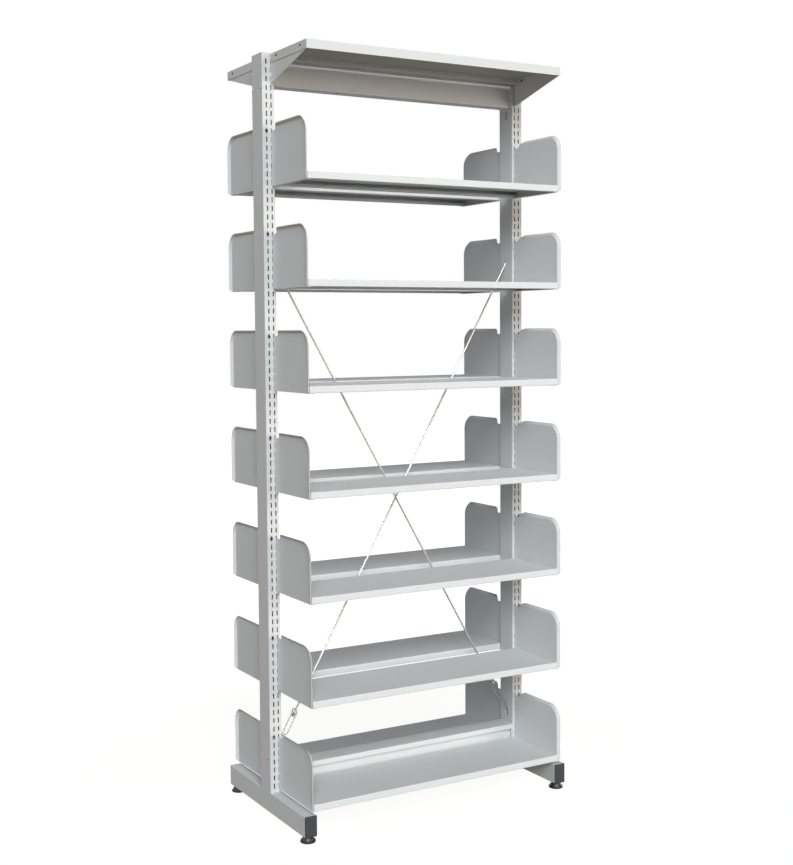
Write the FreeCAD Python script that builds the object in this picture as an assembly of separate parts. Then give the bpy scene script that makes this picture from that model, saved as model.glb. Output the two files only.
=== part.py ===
"""Double-sided library shelving: one free-standing bay with seven shelves on each side.

Two slotted posts stand on two cross feet and are tied by a top beam, a bottom beam and a pair of
crossed tension rods. Each shelf is a folded tray between two end panels, which hook into the slots
of the posts. A canopy on hooked brackets closes the top on each side.

Frame: millimetres, origin on the floor under the middle of the bay. X runs along the bay, the front
face is towards -Y, +Z is up. The rear half of the bay is the front half mirrored in Y.
"""
import FreeCAD
import Part
import math
import os

V = FreeCAD.Vector

# ---------------------------------------------------------------- driving dimensions, millimetres
CLEAR_WIDTH = 850.0          # between the inner faces of the two posts

POST_WIDTH = 38.0
POST_DEPTH = 72.0
POST_WALL = 2.0
POST_CORNER_RADIUS = 2.5
POST_LENGTH = 2195.0

SLOT_PITCH = 25.0
SLOT_WIDTH = 4.0
SLOT_HEIGHT = 15.0
SLOT_BOTTOM_MARGIN = 19.5    # foot top to the middle of the lowest slot
SLOT_TOP_MARGIN = 20.0       # least distance from the top slot's middle to the post top
INNER_COLUMN_INSET = 9.7     # inner face of the post to the inner slot column
COLUMN_SPACING = 15.0        # inner slot column to outer slot column
MARKER_DIAMETER = 9.0        # round hole on the outer column that marks a shelf level

FIRST_LEVEL_SLOT = 6         # slots below the lowest marker
LEVEL_SLOTS = 12             # slot pitches from one level to the next
SLOTS_OVER_TOP_LEVEL = 8     # least number of slots above the highest marker

FOOT_WIDTH = 38.0
FOOT_HEIGHT = 61.5
FOOT_OVERHANG = 1.25         # shelf's front lip to the end of the foot, end cap included
FOOT_WALL = 2.0
FOOT_CORNER_RADIUS = 2.5

CAP_PLATE = 3.0
CAP_CHAMFER = 1.2
CAP_PLUG_DEPTH = 8.0
CAP_PLUG_WALL = 2.0
CAP_PLUG_GAP = 0.2

LEVELLER_STAND = 19.0        # floor to the underside of the foot
LEVELLER_INSET = 22.0        # end of the foot to the stud
LEVELLER_DISC_DIAMETER = 45.0
LEVELLER_DISC_HEIGHT = 7.0
LEVELLER_EDGE_RADIUS = 2.0
LEVELLER_DOME_BASE = 38.0
LEVELLER_DOME_TOP = 27.0
LEVELLER_DOME_GAP = 0.5      # dome to the underside of the foot
STUD_DIAMETER = 10.0
STUD_LENGTH = 46.0           # from the underside of the foot up into it
STUD_HOLE_GAP = 0.4
WELD_NUT_ACROSS_FLATS = 17.0
WELD_NUT_HEIGHT = 9.0

TRAY_SHEET = 1.0
TRAY_HEIGHT = 20.0
TRAY_RETURN = 20.0           # lip return along the underside
TRAY_UPTURN = 8.0            # stiffening upturn at the end of each return
TRAY_FRONT = 266.0           # middle of the bay to the front lip
TRAY_POST_GAP = 2.0
TRAY_SIDE_GAP = 0.8
TRAY_TOP_DROP = 139.3        # marker to tray top
BEND_RADIUS = 1.2            # inside radius of every sheet bend

PANEL_SHEET = 1.2
PANEL_ABOVE_MARKER = 18.5    # marker to the tip of the top rim
PANEL_SETBACK = 2.6          # shelf's front lip back to the panel's front bend line
PANEL_CORNER_RADIUS = 38.0   # top front corner, at the bend line
PANEL_RIM = 8.0              # rim projection, outwards and beyond the bend line alike
PANEL_POST_GAP = 0.4
PANEL_FOOT_CHAMFER = 5.0     # rear lower corner
PANEL_SHELF_WIDTH = 15.0     # inward flange that carries the tray
NECK_ABOVE_MARKER = 1.0      # top edge of the panel beside the post
NECK_LENGTH = 27.0
NECK_RAMP = 19.0             # how far the rim's end is cut back between its bend and its tip
NECK_ROUNDING = 5.0

HOOK_SLOTS_DOWN = (0, 3, 6)  # slots that the panel hooks use, counted down from the marker
HOOK_HEIGHT = 6.5
HOOK_DROP = 6.0
HOOK_NOSE = 3.0
HOOK_WALL_GAP = 0.4
HOOK_REST_GAP = 0.3

CANOPY_SHEET = 1.2
CANOPY_BELOW_POST_TOP = 3.8
CANOPY_HEIGHT = 25.7
CANOPY_OVERHANG = 8.0        # shelf's front lip to the canopy's front
CANOPY_HEM = 12.0            # front lip's return along the underside
CANOPY_STEP_LINE = 57.0      # middle of the bay to the step down beside the posts
CANOPY_STEP_DROP = 14.9      # canopy top down to the ledge beside the posts
CANOPY_LEDGE_LIP = 9.2       # ledge down to the end of its lip
CANOPY_POST_GAP = 1.0        # ledge lip to the post
CANOPY_SIDE_GAP = 0.3        # bracket to the canopy's side flange and to the ends of its folded pan

BRACKET_SHEET = 1.6
BRACKET_HEIGHT_AT_POST = 86.0
BRACKET_LIP_GAP = 3.0        # bracket nose to the canopy's front lip
BRACKET_TOP_GAP = 0.3        # bracket top edge to the underside of the pan
BRACKET_HOOKS_BELOW_TOP = (0, 2)   # slots that carry the bracket, counted down from the top slot

CANOPY_SCREW_INSET = 10.5    # canopy top down to the screws
CANOPY_SCREW_REAR = 80.0     # middle of the bay to the inner screw
CANOPY_SCREW_SETBACK = 39.0  # canopy's front to the outer screw
CANOPY_SCREW_DIAMETER = 5.0
CANOPY_SCREW_LENGTH = 8.0
CANOPY_SCREW_HEAD = 6.5

BEAM_DEPTH = 47.0
BEAM_HEIGHT = 72.0
BEAM_WALL = 2.0
BEAM_CORNER_RADIUS = 2.5
BEAM_END_PLATE = 3.0
BEAM_END_PLATE_DEPTH = 64.0
TOP_BEAM_BELOW_POST_TOP = 93.5     # post top down to the underside of the top beam
BEAM_COVER_SHEET = 1.5
BEAM_COVER_LIP = 14.6
BEAM_SCREW_EDGE = 4.2        # end plate's front or rear edge to the beam screws
BEAM_SCREW_PITCH = 25.0
BEAM_SCREW_DIAMETER = 3.5
BEAM_SCREW_HEAD = 6.6
BEAM_SCREW_LENGTH = 9.0

POST_SCREW_OFFSET = 25.5     # middle of the bay to the screws in the outer face of the post
POST_SCREW_TOP = 100.5       # post top down to the upper pair
POST_SCREW_BOTTOM = 103.5    # foot top up to the lower pair
POST_SCREW_DIAMETER = 5.0
POST_SCREW_LENGTH = 7.0
SCREW_HEAD_DIAMETER = 8.0
SCREW_HEAD_HEIGHT = 2.2
SCREW_HEAD_ROUNDING = 1.3
SCREW_HOLE_GAP = 0.2

BRACE_SLOT_WIDTH = 8.0
BRACE_SLOT_HEIGHT = 24.0
BRACE_PLANE = 3.5            # each rod's distance from the middle of the bay
BRACE_UPPER_DROP = 66.5      # marker of the level below the top one, down to the upper slot
BRACE_LOWER_DROP = 62.5      # marker of the lowest level down to the lower slot
SPARE_SLOT_RISE = 110.5      # marker of the top level up to the spare slot
ROD_DIAMETER = 6.0
ROD_SLOT_GAP = 0.4
ROD_ENTRY_DROP = 3.3         # middle of the upper slot down to where the rod's axis enters the post
BRACE_HOOK_RISE = 16.0       # upright hook behind the post wall, above its bend
ROD_THREAD_DIAMETER = 5.0
ROD_THREAD_ABOVE = 18.0      # threaded length above the stirrup's drilled plate
WIRE_DIAMETER = 3.5
WIRE_BEND_CLEARANCE = 3.0    # post face to the wire's bend outside the lower slot
STIRRUP_KNEE = 20.0          # bend to the long leg's knee, along the rod
STIRRUP_KNEE_OFFSET = 6.0    # rod axis to the knee
STIRRUP_SPREAD = 8.4         # rod axis to each leg at the plate
STIRRUP_CROWN_START = 122.0  # bend to where the legs turn into the crown
STIRRUP_CROWN = 131.0        # bend to the top of the crown
STIRRUP_CROWN_SETBACK = 6.0  # plane of the rod to the top of the crown, which passes behind it
STIRRUP_TOE = 50.0           # bend to the free end of the short leg
STIRRUP_TOE_LENGTH = 10.0    # the free end turned across towards the long leg
STIRRUP_HEAD = 120.3         # bend to the upper face of the drilled plate
STIRRUP_PLATE = 3.0
STIRRUP_PLATE_DEPTH = 9.0
ROD_HOLE_GAP = 0.3
NUT_ACROSS_FLATS = 10.0
NUT_HEIGHT = 8.0
NUT_SEAT_GAP = 0.3
ROD_TAIL = 3.0               # threaded end below the nut

# ---------------------------------------------------------------- derived places
POST_INNER_X = CLEAR_WIDTH / 2
POST_OUTER_X = POST_INNER_X + POST_WIDTH
POST_MIDDLE_X = (POST_INNER_X + POST_OUTER_X) / 2
POST_FACE = POST_DEPTH / 2
COLUMN_X = POST_INNER_X + INNER_COLUMN_INSET
OUTER_COLUMN_X = COLUMN_X + COLUMN_SPACING

PANEL_DEPTH_LINE = TRAY_FRONT - PANEL_SETBACK      # middle of the bay to the front bend line
CANOPY_FRONT = TRAY_FRONT + CANOPY_OVERHANG
CANOPY_SCREW_FRONT = CANOPY_FRONT - CANOPY_SCREW_SETBACK
FOOT_LENGTH = 2 * (TRAY_FRONT + FOOT_OVERHANG)     # over the end caps

FOOT_TOP = LEVELLER_STAND + FOOT_HEIGHT
POST_TOP = FOOT_TOP + POST_LENGTH
SLOT_COUNT = int((POST_LENGTH - SLOT_BOTTOM_MARGIN - SLOT_TOP_MARGIN) / SLOT_PITCH) + 1
LEVELS = (SLOT_COUNT - 1 - FIRST_LEVEL_SLOT - SLOTS_OVER_TOP_LEVEL) // LEVEL_SLOTS + 1
CANOPY_TOP = POST_TOP - CANOPY_BELOW_POST_TOP

OVERCUT = 1.0                # how far a cutting tool runs past the face it opens
SAME = 1e-6                  # two coordinates closer than this are the same


def slot_z(index):
    """Height of the middle of slot number index, counted up from the foot."""
    return FOOT_TOP + SLOT_BOTTOM_MARGIN + SLOT_PITCH * index


def marker_z(level):
    """Height of the marker hole of a shelf level, 0 for the lowest."""
    return slot_z(FIRST_LEVEL_SLOT + LEVEL_SLOTS * level)


# ---------------------------------------------------------------- shape helpers
def box(x0, x1, y0, y1, z0, z1):
    """Box between two corners given in any order."""
    size = V(abs(x1 - x0), abs(y1 - y0), abs(z1 - z0))
    return Part.makeBox(size.x, size.y, size.z, V(min(x0, x1), min(y0, y1), min(z0, z1)))


def rounded_bar(x0, x1, y0, y1, z0, z1, axis, radius):
    """Box with its four edges along axis rounded."""
    bar = box(x0, x1, y0, y1, z0, z1)
    long_edges = [edge for edge in bar.Edges if abs(edge.tangentAt(edge.FirstParameter).dot(axis)) > 1 - SAME]
    return bar.makeFillet(radius, long_edges)


def rod_between(start, end, diameter):
    """Round bar from start to end."""
    return Part.makeCylinder(diameter / 2, (end - start).Length, start, end - start)


def bowed_wire(start, crown, end, diameter):
    """Round wire along the arc through three points."""
    arc = Part.Arc(start, crown, end).toShape()
    profile = Part.Wire(Part.makeCircle(diameter / 2, start, arc.tangentAt(arc.FirstParameter)))
    return Part.Wire(arc).makePipeShell([profile], True, True)


def bent_wire(points, diameter):
    """Round wire along a polyline, with a ball at each bend."""
    solid = rod_between(points[0], points[1], diameter)
    for corner, following in zip(points[1:], points[2:]):
        solid = solid.fuse(Part.makeSphere(diameter / 2, corner))
        solid = solid.fuse(rod_between(corner, following, diameter))
    return solid.removeSplitter()


def hexagon(base, axis, across_flats, height):
    """Hexagonal prism that starts at base and runs along axis."""
    radius = across_flats / math.sqrt(3.0)
    turn = FreeCAD.Rotation(V(0, 0, 1), axis)
    corners = [V(radius * math.cos(math.pi * k / 3), radius * math.sin(math.pi * k / 3), 0) for k in range(7)]
    wire = Part.makePolygon([base + turn.multVec(corner) for corner in corners])
    direction = V(axis).normalize() * height
    return Part.Face(wire).extrude(direction)


def rounded_outline(points, radii):
    """Closed wire in the YZ plane at X = 0, with each corner rounded by its own radius."""
    edges = []
    count = len(points)
    starts, ends, middles = [], [], []
    for k in range(count):
        corner = V(0, *points[k])
        before = (V(0, *points[k - 1]) - corner).normalize()
        after = (V(0, *points[(k + 1) % count]) - corner).normalize()
        radius = radii[k]
        half = before.getAngle(after) / 2
        setback = radius / math.tan(half) if radius else 0.0
        bisector = (before + after).normalize() if radius else before
        centre = corner + bisector * (radius / math.sin(half))
        starts.append(corner + before * setback)
        ends.append(corner + after * setback)
        middles.append(centre - bisector * radius)
    for k in range(count):
        if radii[k]:
            edges.append(Part.Arc(starts[k], middles[k], ends[k]).toShape())
        edges.append(Part.makeLine(ends[k], starts[(k + 1) % count]))
    return Part.Wire(edges)


def folded_sheet(path, sheet, x0, x1):
    """Sheet folded at right angles along a path of (y, z) points, its metal on the path's right."""
    runs = [(V(0, *end) - V(0, *start)).normalize() for start, end in zip(path, path[1:])]
    rights = [V(0, run.z, -run.y) * sheet for run in runs]
    far_side = [V(0, *path[0]) + rights[0]]
    near_radii, far_radii = [0.0], [0.0]
    for point, before, after in zip(path[1:], rights, rights[1:]):
        far_side.append(V(0, *point) + before + after)
        turns_right = before.cross(after).x < 0
        near_radii.append(BEND_RADIUS + sheet if turns_right else BEND_RADIUS)
        far_radii.append(BEND_RADIUS if turns_right else BEND_RADIUS + sheet)
    far_side.append(V(0, *path[-1]) + rights[-1])
    near_radii.append(0.0)
    far_radii.append(0.0)
    outline = list(path) + [(point.y, point.z) for point in reversed(far_side)]
    return prism_yz(outline, x0, x1, near_radii + far_radii[::-1])


def prism_yz(points, x0, x1, radii=None):
    """Flat plate with a (y, z) outline between two X planes."""
    outline = rounded_outline(points, radii or [0.0] * len(points))
    return Part.Face(outline).extrude(V(x1 - x0, 0, 0)).translated(V(x0, 0, 0))


def to_rear(shape):
    """Front piece mirrored to the rear side."""
    return shape.mirror(V(0, 0, 0), V(0, 1, 0))


def to_left(shape):
    """Right-hand piece mirrored to the left side."""
    return shape.mirror(V(0, 0, 0), V(1, 0, 0))


def slot_hook(x0, x1, slot_middle, root):
    """Hook plate that goes through a slot of the front face and drops behind the wall.

    root is the Y from which the tab grows; slot_middle is the height of the slot's middle.
    """
    bottom = slot_middle - SLOT_HEIGHT / 2 + HOOK_REST_GAP
    behind = -POST_FACE + POST_WALL + HOOK_WALL_GAP
    tab = box(x0, x1, root, behind + HOOK_NOSE, bottom, bottom + HOOK_HEIGHT)
    nose = box(x0, x1, behind, behind + HOOK_NOSE, bottom - HOOK_DROP, bottom + HOOK_HEIGHT)
    return tab.fuse(nose)


def screw_hole(diameter, x, wall, y, z):
    """Cutting tool for a screw's clearance hole along X through a wall that starts at x."""
    radius = diameter / 2 + SCREW_HOLE_GAP
    return Part.makeCylinder(radius, wall + 2 * OVERCUT, V(x - OVERCUT, y, z), V(1, 0, 0))


def pan_screw(tip, axis, diameter, length, head_diameter, head_height):
    """Screw with a rounded head: the head's underside is at tip, the shank runs against axis."""
    shank = Part.makeCylinder(diameter / 2, length, tip, axis * -1)
    head = Part.makeCylinder(head_diameter / 2, head_height, tip, axis)
    rim = [edge for edge in head.Edges if abs((edge.CenterOfMass - tip).dot(axis) - head_height) < SAME]
    head = head.makeFillet(SCREW_HEAD_ROUNDING, rim)
    return head.fuse(shank)


# ---------------------------------------------------------------- posts and feet
def post(brace_side):
    """Right-hand post. brace_side is +1 where the upper brace slot lies towards the rear, else -1."""
    tube = rounded_bar(POST_INNER_X, POST_OUTER_X, -POST_FACE, POST_FACE, FOOT_TOP, POST_TOP,
                       V(0, 0, 1), POST_CORNER_RADIUS)
    tube = tube.cut(box(POST_INNER_X + POST_WALL, POST_OUTER_X - POST_WALL, -POST_FACE + POST_WALL,
                        POST_FACE - POST_WALL, FOOT_TOP + POST_WALL, POST_TOP - POST_WALL))
    tools = []
    through = POST_FACE + OVERCUT
    for index in range(SLOT_COUNT):
        for column in (COLUMN_X, OUTER_COLUMN_X):
            tools.append(box(column - SLOT_WIDTH / 2, column + SLOT_WIDTH / 2, -through, through,
                             slot_z(index) - SLOT_HEIGHT / 2, slot_z(index) + SLOT_HEIGHT / 2))
    for level in range(LEVELS):
        tools.append(Part.makeCylinder(MARKER_DIAMETER / 2, 2 * through,
                                       V(OUTER_COLUMN_X, -through, marker_z(level)), V(0, 1, 0)))
    for height, side in brace_slots():
        middle = side * brace_side * BRACE_PLANE
        tools.append(box(POST_INNER_X - OVERCUT, POST_INNER_X + POST_WALL + OVERCUT,
                         middle - BRACE_SLOT_WIDTH / 2, middle + BRACE_SLOT_WIDTH / 2,
                         height - BRACE_SLOT_HEIGHT / 2, height + BRACE_SLOT_HEIGHT / 2))
    for y, z in post_screw_places():
        tools.append(screw_hole(POST_SCREW_DIAMETER, POST_OUTER_X - POST_WALL, POST_WALL, y, z))
    for y, z in beam_screw_places():
        tools.append(screw_hole(BEAM_SCREW_DIAMETER, POST_INNER_X, POST_WALL, y, z))
    return tube.cut(Part.makeCompound(tools))


def brace_slots():
    """(height, side) of the slots in the inner face: upper, lower and the spare one at the top."""
    return ((upper_brace_z(), 1), (lower_brace_z(), -1), (marker_z(LEVELS - 1) + SPARE_SLOT_RISE, -1))


def upper_brace_z():
    """Middle of the slot that holds a rod's upper hook."""
    return marker_z(LEVELS - 2) - BRACE_UPPER_DROP


def lower_brace_z():
    """Middle of the slot that holds a stirrup's hook."""
    return marker_z(0) - BRACE_LOWER_DROP


def post_screw_places():
    """(y, z) of the screws in a post's outer face."""
    return [(side * POST_SCREW_OFFSET, z) for side in (-1, 1)
            for z in (POST_TOP - POST_SCREW_TOP, FOOT_TOP + POST_SCREW_BOTTOM)]


def post_screws():
    """The screws of both posts, as one group."""
    screws = [pan_screw(V(POST_OUTER_X, y, z), V(1, 0, 0), POST_SCREW_DIAMETER, POST_SCREW_LENGTH,
                        SCREW_HEAD_DIAMETER, SCREW_HEAD_HEIGHT) for y, z in post_screw_places()]
    return Part.makeCompound(screws + [to_left(screw) for screw in screws])


def foot():
    """Right-hand cross foot: a rectangular tube with a stud hole near each end."""
    half = FOOT_LENGTH / 2 - CAP_PLATE
    x0, x1 = POST_MIDDLE_X - FOOT_WIDTH / 2, POST_MIDDLE_X + FOOT_WIDTH / 2
    tube = rounded_bar(x0, x1, -half, half, LEVELLER_STAND, FOOT_TOP, V(0, 1, 0), FOOT_CORNER_RADIUS)
    tube = tube.cut(box(x0 + FOOT_WALL, x1 - FOOT_WALL, -half - OVERCUT, half + OVERCUT,
                        LEVELLER_STAND + FOOT_WALL, FOOT_TOP - FOOT_WALL))
    for side in (-1, 1):
        tube = tube.cut(stud_hole(side, LEVELLER_STAND - OVERCUT, FOOT_WALL + 2 * OVERCUT))
    return tube


def stud_place(side, z):
    """Point on the axis of the right-hand levelling stud; side is -1 at the front, +1 at the rear."""
    return V(POST_MIDDLE_X, side * (FOOT_LENGTH / 2 - LEVELLER_INSET), z)


def stud_hole(side, z, height):
    """Clearance cylinder around a levelling stud."""
    return Part.makeCylinder(STUD_DIAMETER / 2 + STUD_HOLE_GAP, height, stud_place(side, z))


def foot_cap():
    """Front right-hand end cap: a chamfered plate with a hollow plug inside the tube."""
    front = -FOOT_LENGTH / 2
    x0, x1 = POST_MIDDLE_X - FOOT_WIDTH / 2, POST_MIDDLE_X + FOOT_WIDTH / 2
    plate = rounded_bar(x0, x1, front, front + CAP_PLATE, LEVELLER_STAND, FOOT_TOP,
                        V(0, 1, 0), FOOT_CORNER_RADIUS)
    rim = [edge for edge in plate.Edges if abs(edge.CenterOfMass.y - front) < SAME]
    plate = plate.makeChamfer(CAP_CHAMFER, rim)
    inset = FOOT_WALL + CAP_PLUG_GAP
    plug = box(x0 + inset, x1 - inset, front + CAP_PLATE, front + CAP_PLATE + CAP_PLUG_DEPTH,
               LEVELLER_STAND + inset, FOOT_TOP - inset)
    wall = inset + CAP_PLUG_WALL
    plug = plug.cut(box(x0 + wall, x1 - wall, front + CAP_PLATE, front + CAP_PLATE + CAP_PLUG_DEPTH + OVERCUT,
                        LEVELLER_STAND + wall, FOOT_TOP - wall))
    return plate.fuse(plug)


def leveller():
    """Front right-hand levelling foot: a plastic disc with a domed shoulder on a threaded stud."""
    base = stud_place(-1, 0.0)
    disc = Part.makeCylinder(LEVELLER_DISC_DIAMETER / 2, LEVELLER_DISC_HEIGHT, base)
    rims = [edge for edge in disc.Edges if abs(edge.Length - math.pi * LEVELLER_DISC_DIAMETER) < SAME]
    disc = disc.makeFillet(LEVELLER_EDGE_RADIUS, rims)
    dome_height = LEVELLER_STAND - LEVELLER_DISC_HEIGHT - LEVELLER_DOME_GAP
    dome = Part.makeCone(LEVELLER_DOME_BASE / 2, LEVELLER_DOME_TOP / 2, dome_height,
                         base + V(0, 0, LEVELLER_DISC_HEIGHT))
    stud = Part.makeCylinder(STUD_DIAMETER / 2, LEVELLER_STAND + STUD_LENGTH - LEVELLER_DISC_HEIGHT,
                             base + V(0, 0, LEVELLER_DISC_HEIGHT))
    return disc.fuse(dome).fuse(stud)


def weld_nuts():
    """The nuts inside the feet that the levelling studs screw into, as one group."""
    nuts = []
    for side in (-1, 1):
        base = stud_place(side, LEVELLER_STAND + FOOT_WALL)
        nut = hexagon(base, V(0, 0, 1), WELD_NUT_ACROSS_FLATS, WELD_NUT_HEIGHT)
        nut = nut.cut(stud_hole(side, LEVELLER_STAND, FOOT_WALL + WELD_NUT_HEIGHT + OVERCUT))
        nuts += [nut, to_left(nut)]
    return Part.makeCompound(nuts)


# ---------------------------------------------------------------- beams
def beam_tube(z0):
    """Closed beam between the posts, with an end plate at each post."""
    half_depth = BEAM_DEPTH / 2
    reach = POST_INNER_X - BEAM_END_PLATE
    tube = rounded_bar(-reach, reach, -half_depth, half_depth, z0, z0 + BEAM_HEIGHT,
                       V(1, 0, 0), BEAM_CORNER_RADIUS)
    tube = tube.cut(box(-reach - OVERCUT, reach + OVERCUT, -half_depth + BEAM_WALL, half_depth - BEAM_WALL,
                        z0 + BEAM_WALL, z0 + BEAM_HEIGHT - BEAM_WALL))
    plate = box(reach, POST_INNER_X, -BEAM_END_PLATE_DEPTH / 2, BEAM_END_PLATE_DEPTH / 2,
                z0, z0 + BEAM_HEIGHT)
    for y, z in beam_screw_offsets():
        plate = plate.cut(screw_hole(BEAM_SCREW_DIAMETER, reach, BEAM_END_PLATE, y, z0 + z))
    return tube.fuse(plate).fuse(to_left(plate))


def top_beam_z():
    """Underside of the top beam."""
    return POST_TOP - TOP_BEAM_BELOW_POST_TOP


def bottom_beam():
    """Bottom beam with a lipped cover plate that is as deep as the posts."""
    top = FOOT_TOP + BEAM_HEIGHT + BEAM_COVER_SHEET
    cover = folded_sheet([(-POST_FACE, top - BEAM_COVER_LIP), (-POST_FACE, top), (POST_FACE, top),
                          (POST_FACE, top - BEAM_COVER_LIP)], BEAM_COVER_SHEET, -POST_INNER_X, POST_INNER_X)
    return beam_tube(FOOT_TOP).fuse(cover)


def beam_screw_offsets():
    """(y, z above the beam's underside) of the screws in a beam's end plate."""
    y = BEAM_END_PLATE_DEPTH / 2 - BEAM_SCREW_EDGE
    return [(side * y, BEAM_HEIGHT / 2 + row * BEAM_SCREW_PITCH / 2) for side in (-1, 1) for row in (-1, 1)]


def beam_screw_places():
    """(y, z) of the beam screws at one post."""
    return [(y, z0 + z) for z0 in (top_beam_z(), FOOT_TOP) for y, z in beam_screw_offsets()]


def beam_screws():
    """The screws that hold both beams to the posts, as one group."""
    head_face = POST_INNER_X - BEAM_END_PLATE
    screws = [pan_screw(V(head_face, y, z), V(-1, 0, 0), BEAM_SCREW_DIAMETER, BEAM_SCREW_LENGTH,
                        BEAM_SCREW_HEAD, SCREW_HEAD_HEIGHT) for y, z in beam_screw_places()]
    return Part.makeCompound(screws + [to_left(screw) for screw in screws])


# ---------------------------------------------------------------- shelves
def tray_half_length():
    """Middle of the bay to the tray's end, between the two end panels."""
    return COLUMN_X - PANEL_SHEET / 2 - TRAY_SIDE_GAP


def tray(level):
    """Front shelf tray: a folded pan with lips and stiffened returns at the front and at the back."""
    top = marker_z(level) - TRAY_TOP_DROP
    bottom = top - TRAY_HEIGHT
    back, front = -(POST_FACE + TRAY_POST_GAP), -TRAY_FRONT
    half = tray_half_length()
    path = [(front + TRAY_RETURN, bottom + TRAY_UPTURN), (front + TRAY_RETURN, bottom), (front, bottom),
            (front, top), (back, top), (back, bottom), (back - TRAY_RETURN, bottom),
            (back - TRAY_RETURN, bottom + TRAY_UPTURN)]
    pan = folded_sheet(path, TRAY_SHEET, -half, half)
    corner = BEND_RADIUS + TRAY_SHEET
    end = box(half - TRAY_SHEET, half, front + corner, back - corner, bottom, top - TRAY_SHEET / 2)
    return pan.fuse(end).fuse(to_left(end))


def panel_outline(grow, x):
    """Outline of an end panel at height x above its inner face, its rimmed edges moved out by grow."""
    back = -(POST_FACE + PANEL_POST_GAP)
    bottom = panel_bottom()
    front = -(PANEL_DEPTH_LINE + grow)
    top = PANEL_ABOVE_MARKER - PANEL_RIM + grow
    radius = PANEL_CORNER_RADIUS + grow
    centre = V(x, front + radius, top - radius)
    knee = radius * math.sqrt(0.5)
    corner = Part.Arc(V(x, front, centre.z), centre + V(0, -knee, knee), V(x, centre.y, top)).toShape()
    points = [V(x, centre.y, top), V(x, back, top), V(x, back, bottom + PANEL_FOOT_CHAMFER),
              V(x, back - PANEL_FOOT_CHAMFER, bottom), V(x, front, bottom), V(x, front, centre.z)]
    return Part.Wire([Part.makeLine(a, b) for a, b in zip(points, points[1:])] + [corner])


def panel_bottom():
    """Underside of an end panel below its marker: one sheet under the tray."""
    return -(TRAY_TOP_DROP + TRAY_HEIGHT + PANEL_SHEET)


def end_panel():
    """Front right-hand end panel about its marker at Z = 0, with rim, tray flange and hooks."""
    inner = COLUMN_X - PANEL_SHEET / 2
    miter = PANEL_SHEET * math.sqrt(2.0)
    outside = Part.makeLoft([panel_outline(0.0, inner), panel_outline(PANEL_RIM, inner + PANEL_RIM)],
                            True, True)
    hollow_reach = PANEL_RIM + OVERCUT
    hollow = Part.makeLoft([panel_outline(PANEL_SHEET - miter, inner + PANEL_SHEET),
                            panel_outline(hollow_reach - miter, inner + hollow_reach)], True, True)
    panel = outside.cut(hollow).cut(neck_cutter(inner)).cut(lower_corner_cutter(inner))

    back, bottom = -(POST_FACE + PANEL_POST_GAP), panel_bottom()
    flange = box(inner - PANEL_SHELF_WIDTH, inner + PANEL_SHEET / 2, back - PANEL_FOOT_CHAMFER,
                 -PANEL_DEPTH_LINE, bottom, bottom + PANEL_SHEET)
    panel = panel.fuse(flange)
    for count in HOOK_SLOTS_DOWN:
        panel = panel.fuse(slot_hook(inner, inner + PANEL_SHEET, -SLOT_PITCH * count, back - PANEL_SHEET))
    return panel


def neck_cutter(inner):
    """What is cut from the panel's upper rear corner: a low neck, and the rim's end at a slant."""
    near_post = -POST_FACE
    foot = -(POST_FACE + PANEL_POST_GAP + NECK_LENGTH)
    head = foot - NECK_RAMP
    tip = PANEL_ABOVE_MARKER
    above = tip + OVERCUT
    points = [(near_post, NECK_ABOVE_MARKER), (foot, NECK_ABOVE_MARKER), (foot, tip - PANEL_RIM), (head, tip),
              (head, above), (near_post, above)]
    return prism_yz(points, inner - OVERCUT, inner + PANEL_RIM + OVERCUT,
                    [0.0, NECK_ROUNDING, 0.0, 0.0, 0.0, 0.0])


def lower_corner_cutter(inner):
    """What is cut from the rim at the panel's lower front corner: a bevel up from the bend line."""
    front, bottom = -PANEL_DEPTH_LINE, panel_bottom()
    reach = PANEL_RIM + OVERCUT
    points = [(front, bottom), (front - reach, bottom + reach), (front - reach, bottom - OVERCUT),
              (front, bottom - OVERCUT)]
    return prism_yz(points, inner - OVERCUT, inner + reach)


def end_panels(level):
    """Both end panels of a front shelf, as one group."""
    right = end_panel().translated(V(0, 0, marker_z(level)))
    return Part.makeCompound([right, to_left(right)])


# ---------------------------------------------------------------- canopy
def bracket_faces():
    """Inner and outer X of the right-hand canopy brackets."""
    return COLUMN_X - BRACKET_SHEET / 2, COLUMN_X + BRACKET_SHEET / 2


def canopy_screw_places():
    """(y, z) of the screws through the front canopy's side flange."""
    z = CANOPY_TOP - CANOPY_SCREW_INSET
    return [(-CANOPY_SCREW_REAR, z), (-CANOPY_SCREW_FRONT, z)]


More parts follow.
